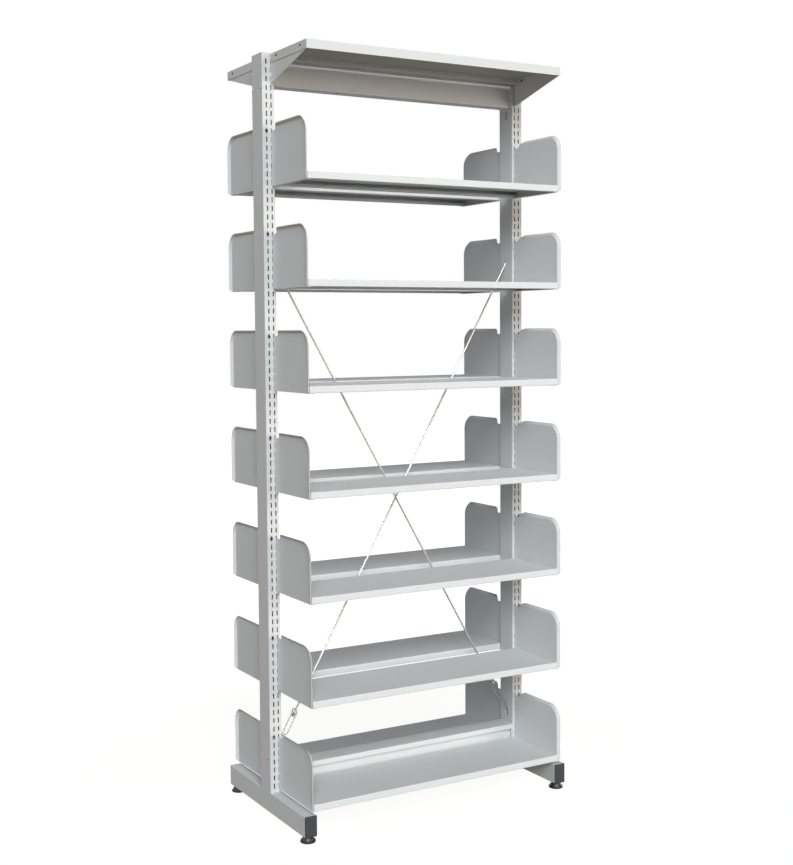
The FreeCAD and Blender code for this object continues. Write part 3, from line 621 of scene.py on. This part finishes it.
def screw_tree() -> ShapeTree:
    """A round-headed screw with a cross recess at every point of the seed, its head outwards.

    Returns:
        The tree.
    """
    head_sides, head_rings, shank_sides = 28, 14, 20
    recess_arm, recess_wing = 0.5, 0.11   # of the head's diameter
    tree = ShapeTree("round_headed_screws", {
        "Head diameter": 8.0 * MM, "Head height": 2.2 * MM,
        "Shank diameter": 5.0 * MM, "Shank length": 8.0 * MM})
    width, height, length = (tree.size(label) for label in
                             ("Head diameter", "Head height", "Shank length"))
    radius = tree.half(width)
    dome = tree.moved(tree.ball(head_sides, head_rings, 1.0),
                      scale=tree.vector(radius, radius, height))
    below = tree.vector(0.0, 0.0, tree.half(width, -1))
    under = tree.block(tree.vector(width, width, width), below)
    arm = tree.maths("MULTIPLY", width, recess_arm)
    wing = tree.maths("MULTIPLY", width, recess_wing)
    deep = tree.vector(0.0, 0.0, height)
    across = tree.block(tree.vector(arm, wing, height), deep)
    along = tree.block(tree.vector(wing, arm, height), deep)
    head = tree.cut(dome, tree.joined(under, across, along), crossing=True)
    shank = tree.bar(shank_sides, tree.half(tree.size("Shank diameter")), length)
    sunk = tree.moved(shank, tree.vector(0.0, 0.0, tree.half(length, -1)))
    return tree.close(tree.placed(tree.joined(head, sunk)))


def thread_tree() -> ShapeTree:
    """A threaded bar from every point of the seed: a core with a helical ridge.

    Returns:
        The tree.
    """
    bar_sides, steps_per_turn, ridge_sides = 24, 20, 6
    tree = ShapeTree("threaded_bars", {
        "Core diameter": 8.0 * MM, "Ridge": 0.5 * MM, "Pitch": 1.25 * MM, "Length": 40.0 * MM})
    length, core = tree.size("Length"), tree.half(tree.size("Core diameter"))
    bar = tree.moved(tree.bar(bar_sides, core, length), tree.vector(0.0, 0.0, tree.half(length)))
    helix = tree.node("GeometryNodeCurveSpiral", None, {
        "Resolution": steps_per_turn, "Rotations": tree.maths("DIVIDE", length, tree.size("Pitch")),
        "Start Radius": core, "End Radius": core, "Height": length})
    thread = tree.swept(helix, ridge_sides, tree.size("Ridge"))
    return tree.close(tree.placed(tree.smooth(tree.joined(bar, thread))))


def nut_tree() -> ShapeTree:
    """A hexagon nut on every point of the seed, its bore along "facing", its corners chamfered.

    Returns:
        The tree.
    """
    nut_sides, ball_sides, ball_rings, bore_sides, drill_share = 6, 48, 32, 24, 1.5
    tree = ShapeTree("hexagon_nuts", {
        "Across corners": 9.0 * MM, "Height": 8.0 * MM, "Bore": 5.0 * MM,
        "Chamfer ball": 5.6 * MM})
    height = tree.size("Height")
    prism = tree.bar(nut_sides, tree.half(tree.size("Across corners")), height)
    ball = tree.ball(ball_sides, ball_rings, tree.size("Chamfer ball"))
    body = tree.node("GeometryNodeMeshBoolean", {"operation": "INTERSECT", "solver": "EXACT"},
                     {"Mesh 2": [prism, ball]}).outputs[0]
    drill = tree.bar(bore_sides, tree.half(tree.size("Bore")),
                     tree.maths("MULTIPLY", height, drill_share))
    return tree.close(tree.placed(tree.cut(body, drill)))


# ------------------------------------------------------------------ helpers for pieces
def add_object(name: str, data: bpy.types.ID) -> Object:
    """Adds an object with a mesh, lamp or camera to the scene.

    Args:
        name: The object's name.
        data: What it shows.

    Returns:
        The object, at the origin.
    """
    made = bpy.data.objects.new(name, data)
    bpy.context.scene.collection.objects.link(made)
    return made


def shape_object(name: str, shape: bmesh.types.BMesh, finishes: Sequence[Material]) -> Object:
    """Turns a worked shape into an object and frees it.

    Args:
        name: The object's name.
        shape: The shape.
        finishes: Its materials, in the order of its faces' material numbers.

    Returns:
        The object, at the origin.
    """
    mesh = bpy.data.meshes.new(name)
    for finish in finishes:
        mesh.materials.append(finish)
    shape.to_mesh(mesh)
    shape.free()
    return add_object(name, mesh)


def points_mesh(name: str, points: Iterable[Vector], edges: Sequence[tuple[int, int]] = ()) -> Mesh:
    """A mesh of points, or of a line through them.

    Args:
        name: The mesh's name.
        points: Its points.
        edges: Pairs of point numbers that are joined.

    Returns:
        The mesh.
    """
    mesh = bpy.data.meshes.new(name)
    mesh.from_pydata([tuple(point) for point in points], list(edges), [])
    return mesh


def spots(name: str, places: Sequence[tuple[Vector, Vector]]) -> Mesh:
    """Seed points that carry the direction each copy faces.

    Args:
        name: The seed's name.
        places: (point, direction) of each copy.

    Returns:
        A mesh of points with the attribute "facing".
    """
    mesh = points_mesh(name, [point for point, _ in places])
    facing = mesh.attributes.new("facing", "FLOAT_VECTOR", "POINT")
    for index, (_, direction) in enumerate(places):
        facing.data[index].vector = direction
    return mesh


def paint_node(node: str, finish: Material) -> None:
    """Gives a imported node's object one material.

    Args:
        node: The node's name.
        finish: The material.
    """
    slots = frame["nodes"][node].data.materials
    for index in range(len(slots)):
        slots[index] = finish


def lathe(name: str, profile: Sequence[tuple[float, float]], base: Vector, sides: int,
          finish: Material) -> Object:
    """A solid of revolution about an upright axis.

    Args:
        name: The piece's name.
        profile: (radius, height) from the axis at the bottom to the axis at the top.
        base: The axis's foot.
        sides: Faces around.
        finish: Its material.

    Returns:
        A closed, smooth object at the origin.
    """
    shape = bmesh.new()
    turns = [2 * math.pi * k / sides for k in range(sides)]
    rings = []
    for radius, height in profile:
        around = turns if radius else turns[:1]
        rings.append([shape.verts.new(base + Vector((radius * math.cos(turn),
                                                     radius * math.sin(turn), height)))
                      for turn in around])
    for low, high in zip(rings, rings[1:]):
        for k in range(sides):
            following = (k + 1) % sides
            corners = [low[k % len(low)], low[following % len(low)],
                       high[following % len(high)], high[k % len(high)]]
            shape.faces.new(list(dict.fromkeys(corners)))
    bmesh.ops.recalc_face_normals(shape, faces=shape.faces)
    made = shape_object(name, shape, [finish])
    made.data.shade_smooth()
    made.data.set_sharp_from_angle(angle=SHARP_EDGE)
    return made


def joined(name: str, pieces: Sequence[Object]) -> Object:
    """Several objects at the origin as one object, each keeping its own finish.

    Args:
        name: The new piece's name.
        pieces: The objects, which are used up.

    Returns:
        The piece.
    """
    shape = bmesh.new()
    finishes = [piece.data.materials[0] for piece in pieces]
    for index, piece in enumerate(pieces):
        start = len(shape.faces)
        shape.from_mesh(piece.data)
        shape.faces.ensure_lookup_table()
        for face in shape.faces[start:]:
            face.material_index = index
        bpy.data.objects.remove(piece)
    return shape_object(name, shape, finishes)


def settle(piece: Object, body: str, slot: str, *nodes: str) -> None:
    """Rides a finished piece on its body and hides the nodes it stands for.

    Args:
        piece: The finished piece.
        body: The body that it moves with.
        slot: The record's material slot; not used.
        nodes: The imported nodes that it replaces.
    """
    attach(piece, body)
    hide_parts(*nodes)
    log.info("%s rides on %s and stands for %s", piece.name, body, ", ".join(nodes))


class Place(Enum):
    """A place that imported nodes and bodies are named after."""

    @property
    def label(self) -> str:
        """The place as it stands in their names."""
        return self.name.lower()


class Corner(Place):
    """The four corners of the base: signs of X and Y."""

    FRONT_LEFT = (-1, -1)
    FRONT_RIGHT = (1, -1)
    REAR_LEFT = (-1, 1)
    REAR_RIGHT = (1, 1)


class RodFoot(Place):
    """The side where a tension rod starts: 1 where it rises to the right, else -1."""

    LEFT = 1
    RIGHT = -1


@dataclass(frozen=True)
class Paints:
    """The materials that the pieces share, made once."""

    frame: Material
    shelf: Material
    canopy: Material
    bracket: Material
    zinc: Material
    black: Material
    cap: Material
    foot: Material


# ------------------------------------------------------------------ sub-assemblies
@dataclass
class PostFrame:
    """Posts, cross feet, beams and the end caps of the feet."""

    paints: Paints
    steel_nodes: tuple[str, ...] = ("post_left", "post_right", "foot_left", "foot_right",
                                    "top_beam", "bottom_beam")

    def dress(self) -> None:
        """Paints the frame's nodes."""
        for node in self.steel_nodes:
            paint_node(node, self.paints.frame)
        paint_node("weld_nuts", self.paints.zinc)
        for corner in Corner:
            paint_node("foot_cap_" + corner.label, self.paints.cap)
        log.info("painted the post frame and the end caps")


@dataclass
class Shelves:
    """Trays and end panels of both sides."""

    paints: Paints
    starts: tuple[str, ...] = ("shelf_", "end_panels_")

    def dress(self) -> None:
        """Paints every tray and every pair of end panels."""
        for node in frame["nodes"]:
            if node.startswith(self.starts):
                paint_node(node, self.paints.shelf)
        log.info("painted the trays and end panels")


@dataclass
class Canopies:
    """Canopy tops and their hooked brackets."""

    paints: Paints
    tops: tuple[str, ...] = ("canopy_front", "canopy_rear")

    def dress(self) -> None:
        """Paints both canopies and the four brackets."""
        for node in self.tops:
            paint_node(node, self.paints.canopy)
        for corner in Corner:
            paint_node("canopy_bracket_" + corner.label, self.paints.bracket)
        log.info("painted the canopies")


@dataclass
class ScrewGroup:
    """One kind of screw, as a group on the post frame."""

    name: str
    node: str
    finish: Material
    places: list[tuple[Vector, Vector]]
    slot: str = "zinc_fastener"
    head_diameter: float = 8.0 * MM
    head_height: float = 2.2 * MM
    shank_diameter: float = 5.0 * MM
    shank_length: float = 8.0 * MM

    def build(self, tree: ShapeTree) -> None:
        """Makes every screw of the group and rides the group on the post frame."""
        piece = tree.make(self.name, spots(self.name + "_spots", self.places), {
            "Head diameter": self.head_diameter, "Head height": self.head_height,
            "Shank diameter": self.shank_diameter, "Shank length": self.shank_length,
            "Finish": self.finish})
        settle(piece, FRAME_BODY, self.slot, self.node)


@dataclass
class ScrewPlan:
    """Where the screws of the bay sit."""

    paints: Paints
    post_face_x: float = 463.0 * MM
    post_y: float = 25.5 * MM
    post_heights: tuple[float, float] = (184.0 * MM, 2175.0 * MM)
    post_shank: float = 7.0 * MM
    canopy_face_x: float = 437.0 * MM
    canopy_y: tuple[float, float] = (80.0 * MM, 235.0 * MM)
    canopy_z: float = 2261.2 * MM
    canopy_head: float = 6.5 * MM
    beam_face_x: float = 422.0 * MM
    beam_y: float = 27.8 * MM
    beam_pitch: float = 25.0 * MM
    beam_middles: tuple[float, float] = (116.5 * MM, 2218.0 * MM)
    beam_head: float = 6.6 * MM
    beam_shank: tuple[float, float] = (3.5 * MM, 9.0 * MM)

    def groups(self) -> list[ScrewGroup]:
        """Plans the screws.

        Returns:
            The screws of the posts' outer faces, of the canopies' sides and of the beams' ends.
        """
        sides = [(sx, sy) for sx in SIGNS for sy in SIGNS]
        posts = [(Vector((sx * self.post_face_x, sy * self.post_y, z)), Vector((sx, 0, 0)))
                 for sx, sy in sides for z in self.post_heights]
        tops = [(Vector((sx * self.canopy_face_x, sy * y, self.canopy_z)), Vector((sx, 0, 0)))
                for sx, sy in sides for y in self.canopy_y]
        beams = [(Vector((sx * self.beam_face_x, sy * self.beam_y, z + row * self.beam_pitch / 2)),
                  Vector((-sx, 0, 0)))
                 for sx, sy in sides for z in self.beam_middles for row in SIGNS]
        shank_diameter, shank_length = self.beam_shank
        return [
            ScrewGroup("post_face_screws", "post_screws", self.paints.zinc, posts,
                       shank_length=self.post_shank),
            ScrewGroup("canopy_side_screws", "canopy_screws", self.paints.black, tops,
                       slot="black_fastener", head_diameter=self.canopy_head),
            ScrewGroup("beam_end_screws", "beam_screws", self.paints.zinc, beams,
                       head_diameter=self.beam_head, shank_diameter=shank_diameter,
                       shank_length=shank_length),
        ]


@dataclass
class LevellingFoot:
    """A moulded disc on a threaded stud, under one end of a cross foot."""

    corner: Corner
    paints: Paints
    stud_top: float = 65.0 * MM
    stud_core: float = 8.9 * MM
    ridge: float = 0.5 * MM
    pitch: float = 1.5 * MM
    disc_radius: float = 22.5 * MM
    edge: float = 2.0 * MM
    edge_steps: int = 5
    disc_height: float = 7.0 * MM
    dome_base: float = 19.0 * MM
    dome_top: float = 13.5 * MM
    dome_height: float = 18.5 * MM
    sides: int = 64

    def profile(self) -> list[tuple[float, float]]:
        """Draws the disc and dome's outline.

        Returns:
            (radius, height) from the axis at the floor to the axis at the top.
        """
        radius, edge, height = self.disc_radius, self.edge, self.disc_height
        turns = [math.pi / 2 * k / self.edge_steps for k in range(self.edge_steps + 1)]
        lower = [(radius - edge * (1 - math.sin(a)), edge * (1 - math.cos(a))) for a in turns]
        upper = [(radius - edge * (1 - math.cos(a)), height - edge * (1 - math.sin(a)))
                 for a in turns]
        return [(0.0, 0.0), *lower, *upper, (self.dome_base, height),
                (self.dome_top + edge / 2, self.dome_height - edge),
                (self.dome_top, self.dome_height - edge / 4),
                (self.dome_top - edge / 2, self.dome_height), (0.0, self.dome_height)]

    def build(self, threads: ShapeTree) -> None:
        """Makes the disc and its stud, and rides them on the foot's own body.

        Args:
            threads: The tree of threaded bars.
        """
        sx, sy = self.corner.value
        base = Vector((sx * STUD_X, sy * STUD_Y, 0.0))
        disc = lathe("disc", self.profile(), base, self.sides, self.paints.foot)
        start = base + UPWARDS * (self.dome_height / 2)
        stud = threads.make("stud", spots("stud_spot", [(start, UPWARDS)]), {
            "Core diameter": self.stud_core, "Ridge": self.ridge, "Pitch": self.pitch,
            "Length": self.stud_top - start.z - self.ridge, "Finish": self.paints.zinc})
        piece = joined("levelling_foot_" + self.corner.label, [disc, stud])
        settle(piece, "levelling_foot_" + self.corner.label, "leveller_plastic",
               "leveller_" + self.corner.label)


@dataclass
class CrossBrace:
    """One tension rod with its wire stirrup and its tension nut."""

    foot: RodFoot
    paints: Paints
    post_x: float = 425.0 * MM
    post_wall: float = 2.0 * MM
    plane: float = 3.5 * MM
    bend_clearance: float = 3.0 * MM
    wall_gap: float = 0.4 * MM
    hook_rise: float = 16.0 * MM
    lower_z: float = 197.35 * MM
    upper_z: float = 1680.2 * MM
    rod_diameter: float = 6.0 * MM
    thread_core: float = 4.4 * MM
    thread_ridge: float = 0.3 * MM
    thread_pitch: float = 1.0 * MM
    thread_above: float = 18.0 * MM
    wire_diameter: float = 3.5 * MM
    knee: float = 20.0 * MM
    knee_offset: float = 6.0 * MM
    spread: float = 8.4 * MM
    crown_start: float = 122.0 * MM
    crown: float = 131.0 * MM
    crown_setback: float = 6.0 * MM
    crown_steps: int = 14
    toe: float = 50.0 * MM
    toe_length: float = 10.0 * MM
    head: float = 120.3 * MM
    plate: float = 3.0 * MM
    plate_depth: float = 9.0 * MM
    plate_edge: float = 0.6 * MM
    plate_edge_steps: int = 3
    seat_gap: float = 0.3 * MM
    nut_across_corners: float = 11.5 * MM
    nut_height: float = 8.0 * MM
    nut_chamfer_share: float = 0.98
    rod_tail: float = 3.0 * MM

    @property
    def sign(self) -> int:
        """1 where the rod rises to the right and -1 where it rises to the left."""
        return self.foot.value

    def place(self, x: float, z: float) -> Vector:
        """A point in the brace's own plane; the second brace is the first turned half round."""
        return Vector((self.sign * x, self.sign * self.plane, z))

    def ends(self) -> tuple[Vector, Vector]:
        """Points on the rod's line: outside the lower slot and in the upper one."""
        return (self.place(self.bend_clearance - self.post_x, self.lower_z),
                self.place(self.post_x, self.upper_z))

    def axis(self) -> Vector:
        """Unit vector up the rod."""
        lower, upper = self.ends()
        return (upper - lower).normalized()

    def along(self, distance: float, across: float = 0.0, behind: float = 0.0) -> Vector:
        """A point beside the rod's line.

        Args:
            distance: How far up the rod.
            across: How far across it, within the brace's plane.
            behind: How far out of that plane.

        Returns:
            The point.
        """
        axis = self.axis()
        aside = Vector((axis.z * across, behind, -axis.x * across)) * self.sign
        return self.ends()[0] + axis * distance + aside

    def rod_finish(self) -> Material:
        """The rod's finish, whose drawing lines run along it."""
        lean = math.atan2(self.axis().x, self.axis().z)
        return DrawnSteel("drawn_steel_" + self.foot.label, Tone.BRIGHT_STEEL.value, lean).material()

    def build_rod(self, wires: ShapeTree, threads: ShapeTree) -> None:
        """Bends the rod with its hook, and cuts its thread.

        Args:
            wires: The tree of round wires.
            threads: The tree of threaded bars.
        """
        into_post = self.post_wall + self.wall_gap + self.rod_diameter / 2
        inside = self.ends()[1] + self.axis() * (into_post / abs(self.axis().x))
        shoulder = self.along(self.head + self.thread_above)
        rod = self.wire(wires, "rod", [shoulder, inside, inside + UPWARDS * self.hook_rise],
                        self.rod_diameter, self.rod_finish())
        start = self.along(self.head - self.plate - self.seat_gap - self.nut_height
                           - self.rod_tail + self.thread_ridge)
        thread = threads.make("thread", spots("thread_spot", [(start, self.axis())]), {
            "Core diameter": self.thread_core, "Ridge": self.thread_ridge,
            "Pitch": self.thread_pitch, "Length": (shoulder - start).length,
            "Finish": self.paints.zinc})
        piece = joined("tension_rod_" + self.foot.label, [rod, thread])
        settle(piece, FRAME_BODY, "bright_steel", "brace_rod_" + self.foot.label)

    def crown_line(self) -> list[Vector]:
        """Rounds the top of the loop.

        Returns:
            Points on the arc that passes behind the rod.
        """
        left, right = (self.along(self.crown_start, side * self.spread) for side in SIGNS)
        middle = (left + right) / 2
        rise = self.along(self.crown, 0.0, self.crown_setback) - middle
        radius = (self.spread ** 2 + rise.length ** 2) / (2 * rise.length)
        centre = middle + rise.normalized() * (rise.length - radius)
        half_turn = math.atan2(self.spread, radius - rise.length)
        turns = [half_turn * (2 * k / self.crown_steps - 1) for k in range(self.crown_steps + 1)]
        up, side = rise.normalized() * radius, (right - left).normalized() * radius
        return [centre + up * math.cos(turn) + side * math.sin(turn) for turn in turns]

    def build_stirrup(self, wires: ShapeTree) -> None:
        """Bends the wire up one leg, over the crown and down the other, and adds the plate.

        Args:
            wires: The tree of round wires.
        """
        lower = self.ends()[0]
        into_post = self.bend_clearance + self.post_wall + self.wall_gap + self.wire_diameter / 2
        inside = lower - Vector((self.sign * into_post, 0.0, 0.0))
        line = [inside + UPWARDS * self.hook_rise, inside, lower,
                self.along(self.knee, -self.knee_offset), *self.crown_line(),
                self.along(self.toe, self.spread),
                self.along(self.toe, self.spread - self.toe_length)]
        loop = self.wire(wires, "loop", line, self.wire_diameter, self.paints.zinc)
        piece = joined("wire_stirrup_" + self.foot.label, [loop, self.head_plate()])
        settle(piece, FRAME_BODY, "bright_steel", "tension_stirrup_" + self.foot.label)

    def wire(self, wires: ShapeTree, name: str, line: list[Vector], diameter: float,
             finish: Material) -> Object:
        """One length of round bar or wire along a line, bent to its own diameter at each corner."""
        seed = points_mesh(name + "_line", line, [(k, k + 1) for k in range(len(line) - 1)])
        return wires.make(name, seed, {"Diameter": diameter, "Bend": diameter, "Finish": finish})

    def head_plate(self) -> Object:
        """Makes the plate between the legs that the nut draws up against, with rounded edges.

        Returns:
            The plate.
        """
        width = 2 * self.spread + self.wire_diameter
        shape = bmesh.new()
        bmesh.ops.create_cube(
            shape, size=1.0, matrix=Matrix.Diagonal((width, self.plate_depth, self.plate, 1.0)))
        bmesh.ops.bevel(shape, geom=shape.edges[:], offset=self.plate_edge,
                        segments=self.plate_edge_steps, affect="EDGES", profile=ROUND_PROFILE)
        turn = self.axis().to_track_quat("Z", "Y").to_matrix().to_4x4()
        shape.transform(Matrix.Translation(self.along(self.head - self.plate / 2)) @ turn)
        return shape_object("head_plate", shape, [self.paints.zinc])

    def build_nut(self, nuts: ShapeTree) -> None:
        """Makes the tension nut and rides it on its own turning body.

        Args:
            nuts: The tree of hexagon nuts.
        """
        middle = self.along(self.head - self.plate - self.seat_gap - self.nut_height / 2)
        flat = self.nut_across_corners / 2 * math.cos(math.pi / 6)
        name = "tension_nut_hex_" + self.foot.label
        piece = nuts.make(name, spots("nut_spot", [(middle, self.axis())]), {
            "Across corners": self.nut_across_corners, "Height": self.nut_height,
            "Bore": self.thread_core + 2 * self.thread_ridge,
            "Chamfer ball": math.hypot(flat * self.nut_chamfer_share, self.nut_height / 2),
            "Finish": self.paints.zinc})
        settle(piece, "tension_nut_" + self.foot.label + "_turn", "zinc_fastener",
               "tension_nut_" + self.foot.label)


# ------------------------------------------------------------------ studio
@dataclass(frozen=True)
class Lamp:
    """A broad soft lamp far away, which lights the whole height evenly."""

    name: str
    direction: tuple[float, float, float]
    spread: float               # in degrees
    strength: float
    colour: tuple[float, float, float]
    distance: float = 6.0

    def build(self) -> None:
        """Hangs the lamp so that it shines from its direction on the bay."""
        direction = Vector(self.direction).normalized()
        data = bpy.data.lights.new(self.name, "SUN")
        data.energy = self.strength
        data.angle = math.radians(self.spread)
        data.color = self.colour
        turn = direction.to_track_quat("Z", "Y").to_matrix().to_4x4()
        lamp = add_object(self.name, data)
        lamp.matrix_world = Matrix.Translation(direction * self.distance) @ turn


@dataclass
class Studio:
    """Floor, backdrop, lamps and camera."""

    image_width: int = 793      # these five are in pixels, the axis from the image's top left
    image_height: int = 865
    focal_pixels: float = 1324.56
    axis_x: float = 377.61
    axis_y: float = 409.32
    place: tuple[float, float, float] = (-2.10746, -3.58773, 1.4701)
    yaw: float = 29.67          # these three are in degrees
    pitch: float = -3.47
    roll: float = -0.42
    sensor: float = 36.0        # in millimetres
    lamps: tuple[Lamp, ...] = (
        Lamp("key", (-0.32, -0.80, 0.49), 34.0, 2.88, (0.92, 0.985, 1.0)),
        Lamp("front_fill", (0.36, -0.93, 0.10), 30.0, 1.5, (1.0, 0.90, 0.81)),
        Lamp("side_fill", (-1.0, -0.25, 0.20), 60.0, 0.62, (1.0, 0.90, 0.88)),
        Lamp("rear_fill", (0.12, 1.0, 0.0), 12.0, 1.5, (1.0, 1.0, 1.0)),
        Lamp("right_fill", (1.0, 0.08, 0.0), 12.0, 1.1, (0.96, 0.98, 1.0)),
    )
    ambient: tuple[float, float, float] = (0.03, 0.03, 0.031)
    floor_half: float = 14.0
    glow_near: float = 1.86
    glow_far: float = 2.1
    glow_share: float = 0.5
    fade_from: float = 1.0
    fade_to: float = 2.6
    clear_within: float = 0.09
    clear_until: float = 0.20

    def camera(self) -> None:
        """Sets the camera; the long side of the image is its height."""
        yaw, pitch, roll = (math.radians(v) for v in (self.yaw, self.pitch, self.roll))
        ahead = Vector((math.sin(yaw) * math.cos(pitch), math.cos(yaw) * math.cos(pitch),
                        math.sin(pitch)))
        level = Vector((math.cos(yaw), -math.sin(yaw), 0.0))
        upright = level.cross(ahead)
        right = math.cos(roll) * level + math.sin(roll) * upright
        up = -math.sin(roll) * level + math.cos(roll) * upright
        data = bpy.data.cameras.new("camera")
        data.sensor_fit = "AUTO"
        data.sensor_width = self.sensor
        data.lens = self.focal_pixels * self.sensor / self.image_height
        data.shift_x = (self.image_width / 2 - self.axis_x) / self.image_height
        data.shift_y = (self.axis_y - self.image_height / 2) / self.image_height
        camera = add_object("camera", data)
        turn = Matrix((right, up, -ahead)).transposed().to_4x4()
        camera.matrix_world = Matrix.Translation(self.place) @ turn
        bpy.context.scene.camera = camera

    def backdrop(self) -> None:
        """White for the eye and for gloss, a low even grey for light on the bay."""
        world = bpy.data.worlds.new("studio")
        bpy.context.scene.world = world
        world.use_nodes = True
        world.node_tree.nodes.clear()
        sky = NodeTree(world.node_tree)
        rays = sky.node("ShaderNodeLightPath").outputs
        seen = sky.maths("MAXIMUM", rays["Is Camera Ray"], rays["Is Transmission Ray"])
        bright = sky.maths("MAXIMUM", seen, rays["Is Glossy Ray"])
        soft = sky.node("ShaderNodeBackground", None, {"Color": (*self.ambient, 1.0)})
        white = sky.node("ShaderNodeBackground", None, {"Color": WHITE})
        mixed = sky.mixed_shader(bright, soft, white)
        sky.node("ShaderNodeOutputWorld", None, {"Surface": mixed.outputs[0]})

    def clear_spots(self, paint: PaintTree) -> Number:
        """How clear the floor is around the levelling discs, which stay in sight when wound down.

        Args:
            paint: The floor's material.

        Returns:
            1 around each disc, fading to 0 further out.
        """
        x, y, _ = paint.axes()
        off_x, off_y = x.size() - STUD_X, y.size() - STUD_Y
        clear = paint.smooth_step(off_x * off_x + off_y * off_y, self.clear_within ** 2,
                                  self.clear_until ** 2, falling=True)
        return Number(paint, clear)

    def floor_finish(self) -> Material:
        """Makes the floor's finish.

        Returns:
            A pale finish that keeps a faint shadow and reads as white to the camera.
        """
        paint = PaintTree("studio_floor")
        rays = paint.node("ShaderNodeLightPath").outputs
        seen = Number(paint, rays["Is Camera Ray"])
        matt = paint.node("ShaderNodeBsdfDiffuse", None, {"Color": (*Tone.FLOOR.value, 1.0)})
        near, far = (paint.node("ShaderNodeEmission", None, {"Color": WHITE, "Strength": strength})
                     for strength in (self.glow_near, self.glow_far))
        reach = paint.node("ShaderNodeVectorMath", {"operation": "LENGTH"}, {0: paint.place()})
        fade = paint.smooth_step(reach.outputs["Value"], self.fade_from, self.fade_to)
        pale = paint.mixed_shader(seen * self.glow_share, matt,
                                  paint.mixed_shader(fade, near, far))
        through = self.clear_spots(paint) * (seen + Number(paint, rays["Is Shadow Ray"]))
        gap = paint.node("ShaderNodeBsdfTransparent")
        return paint.close(paint.mixed_shader(through, pale, gap))

    def floor(self) -> None:
        """Lays the floor at the height of the levelling discs' undersides."""
        half = self.floor_half
        mesh = bpy.data.meshes.new("floor")
        mesh.from_pydata([(-half, -half, 0), (half, -half, 0), (half, half, 0), (-half, half, 0)],
                         [], [(0, 1, 2, 3)])
        mesh.materials.append(self.floor_finish())
        ground = add_object("floor", mesh)

    def build(self) -> None:
        """Sets up the whole studio."""
        self.camera()
        for lamp in self.lamps:
            lamp.build()
        self.backdrop()
        self.floor()
        bpy.context.scene.view_settings.view_transform = "Standard"
        log.info("set up the floor, the backdrop, the lamps and the camera")


def make_paints() -> Paints:
    """Makes the finishes that the pieces share."""
    return Paints(
        frame=TubeCoat("frame_coat", Tone.FRAME_GREY.value).material(),
        shelf=PowderCoat("shelf_coat", Tone.SHELF_GREY.value).material(),
        canopy=CanopyCoat("canopy_coat", Tone.CANOPY_GREY.value).material(),
        bracket=PowderCoat("bracket_coat", Tone.CANOPY_GREY.value).material(),
        zinc=PlatedSteel("zinc_plate", Tone.ZINC.value).material(),
        black=PlatedSteel("black_oxide", Tone.BLACK_OXIDE.value, roughness=0.42).material(),
        cap=MouldedPlastic("slate_plastic", Tone.CAP_SLATE.value, roughness=0.45).material(),
        foot=MouldedPlastic("black_plastic", Tone.FOOT_BLACK.value, roughness=0.38).material())


def main() -> None:
    """Builds the sub-assemblies in order."""
    logging.basicConfig(level=logging.INFO, format="%(name)s: %(message)s")
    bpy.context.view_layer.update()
    paints = make_paints()
    for part in (PostFrame(paints), Shelves(paints), Canopies(paints)):
        part.dress()
    screws, threads, wires, nuts = screw_tree(), thread_tree(), wire_tree(), nut_tree()
    for group in ScrewPlan(paints).groups():
        group.build(screws)
    for corner in Corner:
        LevellingFoot(corner, paints).build(threads)
    for foot in RodFoot:
        brace = CrossBrace(foot, paints)
        brace.build_rod(wires, threads)
        brace.build_stirrup(wires)
        brace.build_nut(nuts)
    Studio().build()


if __name__ == "__main__":
    main()
